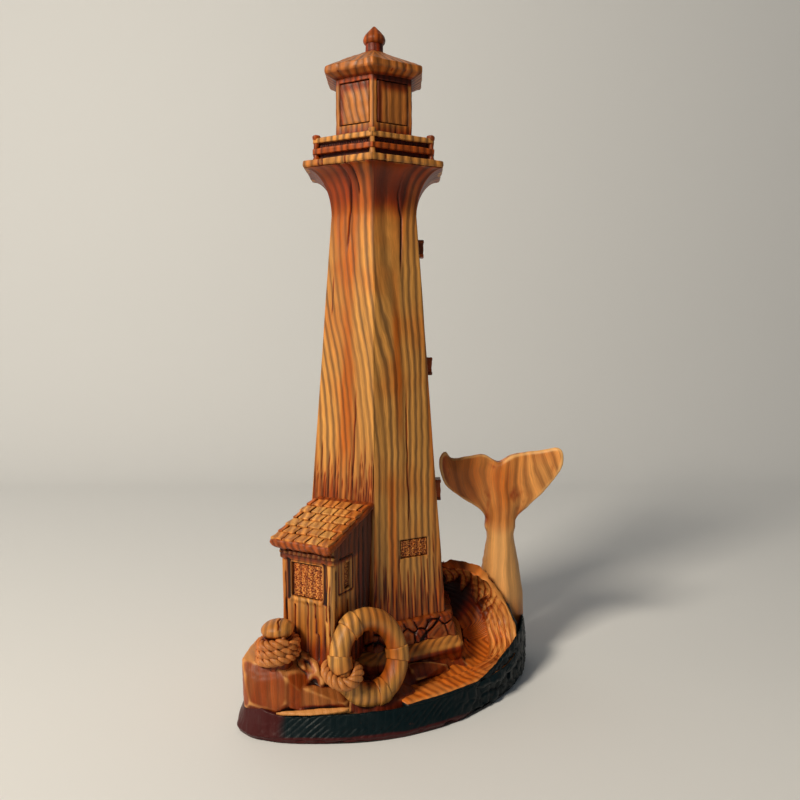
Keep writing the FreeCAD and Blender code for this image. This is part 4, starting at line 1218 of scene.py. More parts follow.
def make_annex_walls():
    """Plank walls with corner posts, a sunk front window and a small side window."""
    clay = Clay((-12, -62, 22), (19, -24, 89), 0.4, ANNEX_TURN)
    p, y, z = clay.points, clay.y, clay.z
    clay.add(brick(p, (-10.4, -58.4, 10), (16.1, -20, 120), 0.9))
    clay.keep((z - (EAVE_LEVEL + 1.6 + (EAVE_OUT + y) * ROOF_PITCH)) * 0.93)
    clay.keep(y + 25)
    clay.keep(23 - z)
    clay.carve(brick(p, (-5.5, -64, 52.5), (10.3, -56.5, 67.1), 0.2), 0.25)
    clay.add(brick(p, (-6.6, -58.9, 50.7), (11.0, -56.0, 52.2), 0.7), 0.8)
    clay.add(brick(p, (-11.0, -59.2, 68.2), (16.6, -56, 75.5), 0.6), 0.3)
    clay.add(brick(p, (-11.1, -59.9, 70.3), (16.7, -56, 72.2), 0.8), 0.3)
    clay.carve(brick(p, (14.4, -50.6, 56.6), (22, -46.2, 67.3), 0.4), 0.3)
    return clay_piece("annex_walls_carved", clay, annex_look, annex_push, 0.9)


def pane(name, frame, half, seed, step=0.3, depth=0.55, cell=1.05):
    """A plate whose face is stippled all over with small round grains and dark pits."""
    piece = block(name, frame, half, edge=0.25, step=step, wobble=0.05, seed=seed, rust=0.4,
                  wash=0.0)
    mesh = piece.data
    flat = np.empty(len(mesh.vertices) * 3)
    mesh.vertices.foreach_get("co", flat)
    points = flat.reshape(-1, 3) / MM
    near, far, own = cells(points, cell, seed)
    gap = smooth(0.2, 0.03, far - near)
    way = frame[1] @ np.array([0, 1.0, 0])
    points = points + (depth * (0.8 * gap + 0.35 * own - 0.35))[:, None] * way
    mesh.vertices.foreach_set("co", (points * MM).ravel())
    mesh.attributes["wash"].data.foreach_set("value", 0.85 * gap)
    return piece


def make_annex_roof():
    """The roof slab and its log-like eave."""
    back = 17.4
    frame = face_frame(ANNEX_TURN, 1.6, -EAVE_OUT + back, EAVE_LEVEL + back * ROOF_PITCH + 1.2,
                       ROOF_ANGLE)
    slab = block("annex_roof_carved", frame, (15.1, 18.8, 1.3), edge=1.1, step=0.7, wobble=0.3,
                 seed=81, grain=(1, 0.2, 0), warp=1.0, wash=0.25, rust=0.5)
    eave = block("annex_fascia_carved", face_frame(ANNEX_TURN, 1.5, -60.3, EAVE_LEVEL + 1.6, 12),
                 (15.2, 2.2, 2.1), edge=1.9, step=0.6, wobble=0.45, seed=83, grain=(1, 0, 0.4),
                 warp=0.8, wash=0.12, rust=0.85)
    return slab, eave


def make_shingles():
    """Staggered rows of short shingles, each tipped up at its butt and split from the next."""
    shingles = []
    dice = np.random.RandomState(5)
    course, wide = 5.35, 6.05
    split, overlap, narrowest = 0.32, 0.25, 1.6
    for row in range(6):
        start = ROOF_LEFT + (0.5 * wide if row % 2 else 0.0)
        for column in range(-1, 6):
            left = max(start + column * wide + dice.uniform(-0.3, 0.3), ROOF_LEFT)
            right = min(start + (column + 1) * wide + dice.uniform(-0.3, 0.3), ROOF_RIGHT)
            if right - left < narrowest:
                continue
            up = course * row + 2.6 + dice.uniform(-0.3, 0.3)
            out = -EAVE_OUT - 1.0 + up * math.cos(math.radians(ROOF_ANGLE))
            level = EAVE_LEVEL + 2.75 + up * math.sin(math.radians(ROOF_ANGLE))
            frame = face_frame(ANNEX_TURN, (left + right) / 2, out, level,
                               ROOF_ANGLE - SHINGLE_TILT + dice.uniform(-2, 2))
            tone = dice.uniform(-0.15, 0.2)
            edge = 0.5 * (column < 0 or right > 16) + 0.35 * (row == 5)
            shingles.append(block(
                f"shingle_{row}_{column}", frame,
                ((right - left) / 2 - split, course / 2 + overlap, 0.8), edge=0.35, step=0.55,
                wobble=0.2, seed=100 + 7 * row + column, grain=(0.9, 0.3, 0), warp=0.8,
                rust=max(0.0, 0.12 + tone + edge), wash=max(0.0, 0.3 * edge)))
    return join("annex_shingles_carved", shingles)


# The small windows of the right-hand face: lowest and highest level, and distance from the axis.
SIDE_WINDOWS = [(196.7, 204.3, 20.35), (142.6, 150.5, 24.4), (83.7, 93.2, 28.7)]


def make_side_windows():
    """Three framed windows that stand out from the right-hand face."""
    def bar(name, place, half, seed):
        return block(name, place, half, edge=0.4, step=0.5, wobble=0.15, seed=seed, rust=0.7,
                     wash=0.4)

    frames, panes = [], []
    for index, (low, high, out) in enumerate(SIDE_WINDOWS):
        middle, half = (low + high) / 2, (high - low) / 2
        for side in (-1, 1):
            frames.append(bar(f"jamb_{index}_{side}",
                              face_frame(90, side * 3.2, -out - 0.4, middle),
                              (0.85, 1.6, half), 140 + 4 * index + side))
        for side in (-1, 1):
            frames.append(bar(f"bar_{index}_{side}",
                              face_frame(90, 0, -out - 0.5, middle + side * (half - 0.7)),
                              (4.2, 1.7, 0.8), 150 + 4 * index + side))
        panes.append(pane(f"glass_{index}", face_frame(90, 0, -out + 0.5, middle),
                          (2.6, 0.9, half - 1.2), 160 + index, step=0.4))
    return join("side_window_frames_carved", frames), join("side_window_panes_carved", panes)


settle(make_annex_walls(), WOOD, "carved_wood_effect", "annex_walls")
slab, eave = make_annex_roof()
settle(slab, SHADED, "shaded_wood_effect", "annex_roof")
settle(eave, SHADED, "shaded_wood_effect", "annex_fascia")
settle(make_shingles(), SHINGLE, "shingle_wood_effect", "annex_shingles")
settle(pane("annex_window_pane_carved", face_frame(ANNEX_TURN, 2.9, -56.7, 59.7), (7.4, 0.9, 6.9),
            171), SHINGLE, "shaded_wood_effect", "annex_window_pane")
settle(pane("annex_side_window_carved", face_frame(60, -48.4, -14.6, 61.95), (2.1, 0.6, 5.1), 172),
       WOOD, "carved_wood_effect", "annex_side_window")
settle(pane("tower_window_pane_carved", face_frame(30, 3.45, -28.6, 66.4), (6.6, 0.9, 3.8), 173,
            depth=0.5, cell=0.95), SHINGLE, "shaded_wood_effect", "tower_window_pane")
frames, panes = make_side_windows()
settle(frames, WOOD, "carved_wood_effect", "side_window_frames")
settle(panes, SHADED, "shaded_wood_effect", "side_window_panes")


# ------------------------------------------------------------------ tubes and ropes
def along_path(path, closed):
    """Directions beside and above each point of a path, without sudden twists."""
    if closed:
        way = unit(np.roll(path, -1, axis=0) - np.roll(path, 1, axis=0))
    else:
        way = unit(np.gradient(path, axis=0))
    side = np.empty_like(way)
    last = unit(np.cross(way[0], np.array([0.13, 0.21, 0.97])))
    for index, direction in enumerate(way):
        last = unit(last - direction * (last @ direction))
        side[index] = last
    return side, np.cross(way, side)


def tube(name, path, radius, closed, seed, sides=14, wobble=0.1, **fields):
    """A slightly uneven tube along a path."""
    side, above = along_path(path, closed)
    angle = np.radians(np.linspace(0, 360, sides, endpoint=False))
    out = (np.cos(angle)[None, :, None] * side[:, None] + np.sin(angle)[None, :, None]
           * above[:, None])
    grid = path[:, None] + out * radius
    grid = grid + out * (wobble * noise(grid, 1.8, seed))[..., None]
    values = {"grain": grid[..., 0], "along": grid[..., 2]}
    values.update(fields)
    return looped_grid(name, grid, values) if closed else closed_grid(name, grid, values)


def rope(name, path, radius, lay, closed, seed, strands=3, **fields):
    """Strands laid round a path, one full turn in each lay's length, as separate tubes."""
    side, above = along_path(path, closed)
    step = np.linalg.norm(np.diff(path, axis=0), axis=1)
    travelled = np.concatenate([[0], np.cumsum(step)])
    if closed:
        whole = travelled[-1] + np.linalg.norm(path[0] - path[-1])
        lay = whole / max(1, round(whole / lay))
    offset = 0.54 * radius
    pieces = []
    for number in range(strands):
        angle = 2 * math.pi * (travelled / lay + number / strands)
        line = path + offset * (np.cos(angle)[:, None] * side + np.sin(angle)[:, None] * above)
        pieces.append(tube(f"{name}_{number}", line, 0.5 * radius, closed, seed + number,
                           **fields))
    return join(name, pieces)


# ------------------------------------------------------------------ life ring
RING_CENTRE = np.array([-1.0, -57.0, 29.97])
RING_MAJOR, RING_MINOR = 15.0, 4.85
RING_NARROW = 0.88
RING_AXES = face_frame(30, 0, 0, 0, 75)[1]
# The middle of each raised band and half its width, in degrees round the ring.
RING_BANDS = [(119, 11), (181, 12), (283, 11), (-4, 11)]


def ring_point(angle, out, depth):
    """A point of the ring's plane: angle in degrees from the right, out from its centre and
    depth in front of its plane."""
    angle = np.radians(angle)
    flat = np.stack([RING_NARROW * out * np.cos(angle), out * np.sin(angle), depth], -1)
    return flat @ RING_AXES.T + RING_CENTRE


def ring_grid(angle, radius, columns):
    """Round tube sections at angles round the ring, one row each."""
    section = np.radians(np.linspace(0, 360, columns, endpoint=False))[None]
    return ring_point(angle[:, None] + 0 * section, RING_MAJOR - radius * np.cos(section),
                      radius * np.sin(section) + 0 * angle[:, None])


def ring_grain(points):
    """Upright bands straight through the whole ring, swaying a little."""
    return points[..., 0] * 1.02 + 0.3 * points[..., 1] + 1.4 * noise(points, (14, 14, 16), 4)


def ring_rust(points):
    """Orange in the hole and low down at the right, tan elsewhere."""
    inner = smooth(RING_MAJOR, RING_MAJOR - 4, np.linalg.norm(points - RING_CENTRE, axis=-1))
    return np.clip(0.75 * inner + 0.5 * smooth(0.0, 0.6, noise(points, 9.0, 6)), 0, 1)


def make_ring():
    """The ring's tube, a little uneven."""
    grid = ring_grid(np.linspace(0, 358, 180), RING_MINOR, 44)
    push = 0.22 * noise(grid, 6.0, 1) + 0.07 * noise(grid, (1.6, 1.6, 5), 2)
    grid = grid + grid_normals(grid) * push[..., None]
    inner = smooth(RING_MAJOR - 1, RING_MAJOR - 4.5, np.linalg.norm(grid - RING_CENTRE, axis=-1))
    return looped_grid("life_ring_carved", grid,
                       {"grain": ring_grain(grid), "along": grid[..., 2],
                        "rust": ring_rust(grid), "wash": 0.25 * inner})


def make_bands():
    """Four raised bands round the ring's tube."""
    bands = []
    for number, (middle, half) in enumerate(RING_BANDS):
        rise = np.concatenate([[0.0, 0.75], np.ones(12), [0.75, 0.0]])
        angle = np.concatenate([[-half, -half + 0.6], np.linspace(-half + 1.4, half - 1.4, 12),
                                [half - 0.6, half]]) + middle
        grid = ring_grid(angle, (RING_MINOR - 0.35 + 0.95 * rise)[:, None], 48)
        grid = grid + grid_normals(grid) * (0.15 * noise(grid, 2.5, number))[..., None]
        bands.append(closed_grid(f"band_{number}", grid, {
            "grain": ring_grain(grid) + 1.6, "along": grid[..., 2],
            "rust": ring_rust(grid), "wash": 0.5 * (1 - rise)[:, None]}))
    return join("ring_bands_carved", bands)


def make_ring_rope():
    """A thick laid rope wrapped round the ring's lower left limb."""
    angle = np.radians(np.linspace(0, 360, 72, endpoint=False))
    reach = RING_MINOR + 1.5
    middle = 196 + 13 * np.sin(angle + 0.3)
    path = ring_point(middle, RING_MAJOR - reach * np.cos(angle), reach * np.sin(angle))
    return rope("ring_rope_carved", path, 2.6, 7.6, True, 8, rust=0.3, wash=0.0)


# ------------------------------------------------------------------ bollard
BOLLARD = np.array([-38.5, -56.0])


def make_bollard():
    """A squat post and two and a half turns of laid rope round it."""
    low = cad("bollard_post")[0][2]
    post = turned("bollard_post_carved", BOLLARD, [(1, low - 1), (6.6, low - 1), (6.0, low + 2),
                                                   (5.9, low + 13.0), (1, low + 13.2)],
                  {"rust": 0.8, "wash": 0.3}, count=36, wobble=0.2, seed=91)
    turns = np.linspace(0, 2.5, 210)
    angle = 2 * math.pi * turns + 2.2
    reach = 7.3 - 0.2 * turns
    lift = low + 4.1 + 3.2 * turns + 0.1 * (1 + 0.3 * turns) * reach * np.cos(angle)
    path = np.stack([BOLLARD[0] + reach * np.cos(angle), BOLLARD[1] + reach * np.sin(angle),
                     lift], -1)
    return post, rope("bollard_rope_carved", path, 2.3, 8.0, False, 12, rust=0.3, wash=0.0)


def make_cap():
    """The pebble on the bollard: a flattened ball with a crack across the top."""
    low, high = cad("bollard_cap")
    rows, columns = 60, 72
    up = np.radians(np.linspace(-88, 88, rows))[:, None]
    around = np.radians(np.linspace(0, 360, columns, endpoint=False))[None]
    level = (low[2] + high[2]) / 2
    x = 7.0 * np.cos(up) * np.cos(around)
    y = 6.8 * np.cos(up) * np.sin(around)
    z = 4.2 * np.sin(up) + 0 * around
    grid = np.stack([BOLLARD[0] + x, BOLLARD[1] + y, level + z + 0.05 * x], -1)
    push = 0.45 * noise(grid, 7.0, 3) + 0.12 * noise(grid, 2.0, 4)
    line = x - 0.8 - 0.35 * np.sin(0.9 * y)
    crack = np.exp(-(line / 0.3) ** 2) * smooth(1.0, 2.6, z) * smooth(5.2, 2.0, y)
    push = push - 0.9 * crack
    grid = grid + grid_normals(grid) * push[..., None]
    return closed_grid("bollard_cap_carved", grid, {
        "grain": x * 1.1 + 0.6 * noise(grid, 9.0, 7), "along": grid[..., 1] + z, "wash": crack,
        "rust": 0.1 + 0.5 * smooth(0.5, -2.5, z)})


settle(make_ring(), WOOD, "carved_wood_effect", "life_ring")
settle(make_bands(), WOOD, "carved_wood_effect", "ring_bands")
settle(make_ring_rope(), ROPE, "rope_effect", "ring_rope")
post, coil = make_bollard()
settle(post, SHADED, "shaded_wood_effect", "bollard_post")
settle(coil, ROPE, "rope_effect", "bollard_rope")
settle(make_cap(), WOOD, "carved_wood_effect", "bollard_cap")


# ------------------------------------------------------------------ footing, ledge and rocks
def outline_distance(x, y, outline):
    """Distance to a closed flat outline, negative inside, for arrays x and y."""
    best = np.full(x.shape, 1e9)
    inside = np.zeros(x.shape, dtype=bool)
    for (ax, ay), (bx, by) in zip(outline, np.roll(outline, -1, axis=0)):
        run_x, run_y = bx - ax, by - ay
        t = np.clip(((x - ax) * run_x + (y - ay) * run_y) / (run_x ** 2 + run_y ** 2 + 1e-12), 0, 1)
        best = np.minimum(best, (x - ax - t * run_x) ** 2 + (y - ay - t * run_y) ** 2)
        crosses = (ay > y) != (by > y)
        inside ^= crosses & (x < ax + (y - ay) * run_x / np.where(run_y == 0, 1e-12, run_y))
    return np.where(inside, -1, 1) * np.sqrt(best)


def make_footing():
    """A band of crazy paving: odd-shaped stones with tilted faces and deep dark joints."""
    low, high = cad("footing_core")
    outline = rounded([(30, low[2] - 1.5), (37.4, low[2] - 1.5), (35.0, high[2] - 0.7),
                       (33.4, high[2]), (26, high[2] + 0.1)], 0.5, 0.3)
    skin = HexSkin(outline, 1.0, 100)
    relief = Relief(skin.s.shape)
    where = np.stack([skin.s * 1.0 + 60 * skin.face, 0 * skin.s, skin.z * 1.05], -1)
    where = where + 0.5 * noise(where, 4.0, 3)[..., None]
    near, far, own = cells(where, 8.4, 12)
    joint = smooth(0.085, 0.02, far - near)
    upright = smooth(high[2] + 0.1, high[2] - 1.2, skin.z)
    tilt = noise(where + 31 * own[..., None], 5.0, 9)
    relief.push += upright * (0.5 * (own - 0.5) + 0.5 * tilt - 1.15 * joint + 0.12 * noise(
        where, 1.3, 5))
    relief.wash += np.clip(upright * (0.9 * joint + 0.3 * smooth(0.4, 0.9, own)), 0, 1)
    relief.rust += 0.55 + 0.45 * (own > 0.35)
    grain = skin.s * (0.6 + 0.8 * own) + skin.z * 1.6 * (own - 0.5)
    rubbed = smooth(0.16, 0.24, far - near) * smooth(0.4, 0.26, far - near)
    return skin_piece("footing_stones_carved", skin, relief, grain + 9 * own,
                      {"wear_and_top_light": 0.8 * rubbed})


settle(make_footing(), STONE, "stone_effect", "footing_stones", "footing_core")


def make_ledge():
    """The hexagonal step under the stones: a golden, slanting top over a brown side."""
    top = cad("footing_ledge")[1][2]
    outline = rounded([(34, 9.5), (38.2, 9.5), (39.4, 15.5), (40.5, 19.0), (40.6, 21.8),
                       (38.4, top - 0.6), (34, top + 0.5), (30, top + 0.6)], 0.7, 0.5)
    skin = HexSkin(outline, 4.0, 60, 9)
    relief = Relief(skin.s.shape)
    rumple(skin, relief, 0.45, (8, 8, 5), 18)
    rumple(skin, relief, 0.15, (2, 2, 2), 19)
    side = smooth(21.8, 20.6, skin.z)
    band = noise(np.stack([skin.s / 3 + 20 * skin.face, 0 * skin.s, skin.z], -1), (5, 5, 2.2), 20)
    relief.push += side * 0.5 * band
    relief.rust += 0.35 + 0.55 * side
    relief.wash = np.maximum(relief.wash, side * (0.4 + 0.2 * band))
    grain = 0.75 * skin.s + 1.4 * skin.apothem + 11 * skin.face
    return skin_piece("footing_ledge_carved", skin, relief, grain,
                      {"wear_and_top_light": 0.7 * np.exp(-((skin.z - 22.2) / 0.8) ** 2)})


settle(make_ledge(), WOOD, "carved_wood_effect", "footing_ledge")


def rock_look(dark, gold, pale, olive=0.0):
    """Fields for rock: upright bands, orange stain, wash low down and painted top light on faces
    that look up.
    """
    def look(p):
        streak = smooth(-0.2, 0.7, noise(p * (1, 1, 0.3), 5.0, 31))
        low = smooth(17, 11, p[:, 2])
        shade = olive * smooth(-30, -26, p[:, 0]) * smooth(21, 19, p[:, 2]) * smooth(
            12.2, 13.2, p[:, 2]) * smooth(-56, -59, p[:, 1])
        return {"grain": 1.05 * p[:, 0] + 0.35 * p[:, 1] + 1.2 * noise(p, (9, 9, 14), 32),
                "along": p[:, 2], "rust": np.clip(gold + 0.5 * streak, 0, 1) * (1 - shade),
                "wash": np.clip(dark * (0.35 + 0.4 * low + 0.35 * noise(p, 7.0, 33))
                                * (1 - shade), 0, 0.8),
                # pale sets how much painted top light the upper rock gets.
                "tops": pale * smooth(22, 25, p[:, 2])}
    return look


def rock_push(p):
    """The gentle unevenness of a facet, and fine tool marks on it."""
    return 0.16 * noise(p, 5.0, 34) + 0.07 * noise(p, 1.4, 35)


# Corners of the convex stones that make up the boulder at the left.
BOULDER = [(-53.6, -55, 28.0), (-52.5, -50, 29.6), (-50, -36, 30), (-53.1, -57, 24.9),
           (-51.7, -60, 23), (-51.8, -60.5, 17), (-49.1, -63.8, 13), (-37.9, -66.8, 11.8),
           (-34.2, -66.7, 14.5), (-28.1, -64, 18.2), (-27.7, -62, 20.4), (-31.5, -61.5, 25.1),
           (-38.4, -61.5, 27.4), (-47.1, -59, 28.3), (-46.5, -62.8, 21.4), (-34.4, -64.4, 23.8),
           (-54.5, -50, 12), (-54.0, -18, 12), (-30, -24, 26), (-20, -40, 27), (-21, -56, 20),
           (-23, -62, 11), (-52, -60, 9), (-38, -66, 9), (-24, -63, 9)]
LOW_ROCK = [(-28.0, -63.2, 19.4), (-18.9, -59.4, 18.3), (-11, -58.6, 15.4), (-10.7, -63.1, 12.5),
            (-26.7, -66.0, 12.0), (-33, -66.4, 12.6), (-24, -66, 9), (-9, -63, 9), (-4, -56, 9),
            (-5, -54, 15), (-20, -50, 20), (-30, -60, 9)]
DRAPED_ROCK = [(-29.5, -45, 32), (-23, -50, 30), (-30, -57, 27.0), (-21, -59.4, 21.8),
               (-13.5, -56.5, 19.0), (-12, -46, 25), (-22, -38, 32), (-30, -60, 15),
               (-12, -58, 14), (-12, -38, 14), (-32, -38, 14)]
GOLD_LIP = [(-38, -67.3, 11.0), (-34.2, -67.4, 11.5), (-32.4, -68.4, 10.8),
            (-22.4, -68.0, 11.7), (-22.2, -69.0, 10.8), (-10.5, -66.8, 11.4), (-8, -65, 12.8),
            (-22, -66.8, 12.3), (-38, -66.8, 11.5), (-38, -67, 9), (-8, -65, 9)]


def make_boulder():
    """The faceted boulder that carries the bollard, and the draped rock beside it."""
    clay = Clay((-58, -73, 8), (0, -14, 35), 0.42)
    p, x, y, z = clay.points, clay.x, clay.y, clay.z
    clay.add(hull(p, BOULDER, 0.25))
    folds = 0.5 * np.cos((x + 0.5 * z) * 1.1 + 1.8 * np.sin(z * 0.45) + 0.5 * y)
    folds = folds + 0.5 * np.cos(0.9 * z - 0.8 * x + 1.5 * np.sin(0.5 * y))
    clay.add(hull(p, DRAPED_ROCK, 0.6) + folds * smooth(15, 20, z), 0.4)
    clay.add(hull(p, LOW_ROCK, 0.3), 0.2)
    clay.add(hull(p, GOLD_LIP, 0.3), 0.15)
    clay.add(ball(p, (-27.5, -47.5, 30.5), (2.6, 3, 2.6)), 0.8)
    clay.add(ball(p, (-23.0, -51.5, 27.0), (2.2, 2.4, 3.4)), 0.8)
    clay.keep(9 - z)
    return clay_piece("rock_bed_carved", clay, rock_look(0.4, 0.55, 0.8, 1.0), rock_push, 1.7,
                      0.32)


settle(make_boulder(), ROCK, "rock_effect", "rock_bed")


# Rocks in front of the ledge: corners, chamfer and how far they blend into their neighbours.
FRONT_ROCKS = [
    ([(-9, -62, 13.5), (2, -63.5, 13), (14, -57, 12), (20, -50, 11.5), (10, -48, 16),
      (-8, -50, 17), (-9, -64, 8), (4, -65, 8), (22, -52, 8), (20, -40, 8), (-8, -42, 8)],
     0.5, 0.6),
    ([(0, -52, 14), (8, -52, 13), (26, -38, 13.2), (39, -22, 14), (41.5, -8, 15),
      (36, -18, 17.5), (22, -34, 18), (6, -46, 18), (0, -52, 8), (8, -52, 8), (26, -38, 8),
      (39, -22, 8), (41.5, -8, 8)], 0.5, 0.8),
    ([(17, -42.5, 17.5), (31, -34, 17), (33, -30, 15), (20, -44, 14), (24, -36, 19),
      (14, -38, 19), (14, -44, 12), (34, -31, 12)], 0.4, 0.3),
]


def make_front_rock():
    """Dark folded rock under the ledge, from the ring round to the wave's tongue."""
    clay = Clay((-24, -70, 7), (50, -12, 24), 0.5)
    p, x, y, z = clay.points, clay.x, clay.y, clay.z
    turn = np.arctan2(x, -y)
    out = np.maximum(np.maximum(-x * 0.5 - y * 0.866, x * 0.5 - y * 0.866), x)
    edge = 43.0 - 0.55 * (z - 10) + 1.3 * np.sin(turn * 9 + z * 0.5) + 0.8 * np.sin(
        turn * 17 - z * 0.8)
    clay.add(np.maximum(out - edge, z - 19.5 - 1.2 * np.sin(turn * 7)) * 0.8)
    for corners, chamfer, blend in FRONT_ROCKS:
        clay.add(hull(p, corners, chamfer), blend)
    clay.keep(8 - z)
    return clay_piece("front_rock_carved", clay, rock_look(0.7, 0.35, 0.0), rock_push, 1.0)


settle(make_front_rock(), ROCK, "rock_effect", "front_rock")


BASE_OUTLINE = curve_through([
    (-54.8, -62), (-50, -67), (-42, -70.8), (-25, -72.8), (0, -71), (26, -61), (48, -43.5),
    (64, -21), (72, -2), (73, 18), (62, 38), (40, 50), (10, 54), (-20, 50), (-44, 34),
    (-56, 8), (-57.5, -22), (-57, -44), (-56.3, -56)], 680, closed=True)
BASE_MIDDLE = np.array([6.0, -8.0])


def make_rear_rocks():
    """Low broken rock round the back of the tower."""
    clay = Clay((-58, -46, 8), (62, 52, 21), 0.8)
    p, x, y, z = clay.points, clay.x, clay.y, clay.z
    flat_x, flat_y = x[:, :, 0], y[:, :, 0]
    edge = outline_distance(flat_x, flat_y, BASE_MIDDLE + (BASE_OUTLINE[::8] - BASE_MIDDLE) * 0.9)
    near, far, own = cells(p * (1, 1, 0.6), 13.0, 41)
    top = 14.5 + 4.0 * own
    block_edge = 1.6 * smooth(0.22, 0.05, far - near)
    clay.add(np.maximum(edge[:, :, None] + 0.45 * (z - 9), (z - top) * 0.9) + block_edge)
    clay.keep(9 - z)
    clay.keep(np.maximum(x - 38, 0) * 2 + 14 - y - np.maximum(22 - x, 0))
    return clay_piece("rear_rocks_carved", clay, rock_look(0.55, 0.45, 0.3), rock_push, 1.2)


settle(make_rear_rocks(), ROCK, "rock_effect", "rear_rocks")


# ------------------------------------------------------------------ skirt of dark sea paint
# The rim's height at angles round the base, in degrees from the right.
SKIRT_RIM = [(-180, 13.0), (-150, 13.2), (-133, 12.2), (-123, 9.6), (-110, 10.9), (-75, 11.2),
             (-46, 11.6), (-24, 15.6), (-15, 18.5), (5, 24.5), (20, 23.5), (45, 17.5),
             (90, 14.5), (140, 13.5), (180, 13.0)]
SKIRT_FOOT, CAP_LEVEL = 0.6, 8.8


def skirt_grid(turn):
    """The plain skirt: an underside, battered sides up to the rim and a sunk cap; with it,
    how far each row is carved."""
    rows = 46
    columns = len(BASE_OUTLINE)
    top = np.interp(turn, *zip(*SKIRT_RIM))
    for _ in range(3):
        top = (np.roll(top, 4) + np.roll(top, -4) + top) / 3
    place = np.concatenate([BASE_OUTLINE, np.zeros((columns, 1))], axis=-1)
    top = top + 0.25 * noise(place, 5.0, 58)
    level = np.linspace(0, 1, rows)[:, None]
    z = SKIRT_FOOT + level * (top[None] - SKIRT_FOOT)
    upright = np.exp(-((turn - 8) / 42.0) ** 2)[None]
    inset = 1 - level * (0.062 * (top[None] / 12) ** 0.8 * (1 - upright) + 0.018 * upright)
    foot = 1 - 0.02 * smooth(2.5, 0.6, z)
    flat = BASE_MIDDLE + (BASE_OUTLINE - BASE_MIDDLE)[None] * (inset * foot)[..., None]
    sides = np.concatenate([flat, z[..., None]], -1)
    shrink = np.linspace(0.985, 0.5, 26)[:, None]
    cap = BASE_MIDDLE + (flat[-1] - BASE_MIDDLE)[None] * shrink[..., None]
    climb = np.clip((shrink - 0.93) / 0.055, 0, 1)
    dip = np.minimum(top[None], CAP_LEVEL + (top[None] - CAP_LEVEL) * climb)
    cap = np.concatenate([cap, dip[..., None]], -1)
    under = BASE_MIDDLE + (flat[0] - BASE_MIDDLE)[None] * np.array([0.6, 0.9])[:, None, None]
    under = np.concatenate([under, np.full((2, columns, 1), SKIRT_FOOT)], -1)
    carved = np.concatenate([np.zeros((2, columns)), np.ones((rows, columns)),
                             np.full(dip.shape, 0.5)])
    return np.concatenate([under, sides, cap]), carved


def make_skirt():
    """The battered skirt: scored aslant at the front, rough rock at the right, chipped foot."""
    from_middle = BASE_OUTLINE - BASE_MIDDLE
    turn = np.degrees(np.arctan2(from_middle[:, 1], from_middle[:, 0]))
    grid, carved = skirt_grid(turn)
    way = grid_normals(grid)
    px, pz = grid[..., 0], grid[..., 2]
    angle = np.broadcast_to(turn, px.shape)
    scored = smooth(-128, -112, angle) * smooth(-52, -68, angle) * smooth(14, 9.5, pz)
    across = px * 0.92 - pz * 1.1 + 0.8 * noise(grid, 9.0, 51)
    score = np.exp(-((across / 2.7) % 1.0 - 0.5) ** 2 / 0.012)
    strength = smooth(-0.5, 0.3, noise(grid, (7, 7, 4), 52)) * smooth(1.0, 3.5, pz)
    rough = smooth(-62, -40, angle) * smooth(130, 60, angle)
    push = 0.35 * noise(grid, 6.0, 53) + 0.12 * noise(grid, 1.6, 54)
    push -= 0.5 * score * scored * strength
    near, far, own = cells(grid * (1, 1, 0.8), 4.2, 55)
    push += rough * (0.8 * (own - 0.6) - 0.4 * smooth(0.25, 0.04, far - near)
                     + 0.5 * noise(grid, 3.0, 59))
    near, _, own = cells(grid, 9.0, 56)
    pit = smooth(0.13, 0.06, near) * (own > 0.45) * smooth(2, 4, pz)
    push -= 0.6 * pit
    chips = smooth(0.2, 0.6, noise(grid, (4, 4, 2), 57)) * smooth(3.2, 1.2, pz) * smooth(
        0.4, 1.0, pz)
    push -= 0.6 * chips
    grid = grid + way * (push * carved)[..., None]
    maroon = np.maximum(smooth(-26, -42, px), smooth(4.5, 1.5, pz) * smooth(50, 30, px))
    return closed_grid("base_skirt_carved", grid, {
        "grain": px, "along": pz, "paint": 1.0 + 0 * px, "rust": maroon,
        "wear_and_top_light": np.clip(0.7 * pit * (own > 0.7) + 0.12 * scored * (1 - score), 0, 1)})


settle(make_skirt(), SKIRT, "sea_dark_paint", "base_skirt")
felt = bpy.data.objects["felt_pad"]
felt.data.materials.clear()
felt.data.materials.append(FELT)


# ------------------------------------------------------------------ wave
# Stations round the wave from the crest by the tower down to its tongue at the front:
# the inner foot, the rim and the outer foot.
WAVE_STATIONS = [
    ((31, 6, 33), (31.5, 4, 50.0), (33.0, 17, 48)),
    ((36, 5, 27), (40.5, 1, 51.2), (42, 17, 46)),
    ((39.5, 3, 22.5), (49, -0.5, 48.3), (53, 14, 42)),
    ((41.2, 1, 19.5), (57, -2.5, 40.5), (62, 9, 32)),
    ((41.8, -2, 17.5), (63.5, -5.5, 30.5), (67, 3, 22)),
    ((41.8, -7, 16.5), (66.3, -9, 21), (68, -6, 14)),
    ((40.5, -15, 15.6), (63.3, -19, 14.8), (64, -21, 10)),
    ((35, -25, 15.0), (52.5, -33.5, 12.8), (53, -36, 9)),
    ((25, -33.5, 14.6), (39.5, -44, 12.2), (40, -46, 9)),
    ((15, -41, 14.2), (28.5, -52, 12), (29, -54, 9)),
    ((5, -50, 13.4), (14.5, -60.2, 11.6), (15, -61.5, 9)),
]
# How far the bowl is hollowed behind a straight line from foot to rim, at each station.
WAVE_HOLLOW = [(2, 8, -2), (3, 9, -1.5), (4, 8.5, -2), (4, 6, -3), (3, 4, -5), (2.5, 2.5, -5),
               (1.5, 1, -3.2), (0.6, 0, -1.6), (0.2, 0, -1.0), (0, 0, -0.6), (0, 0, -0.3)]


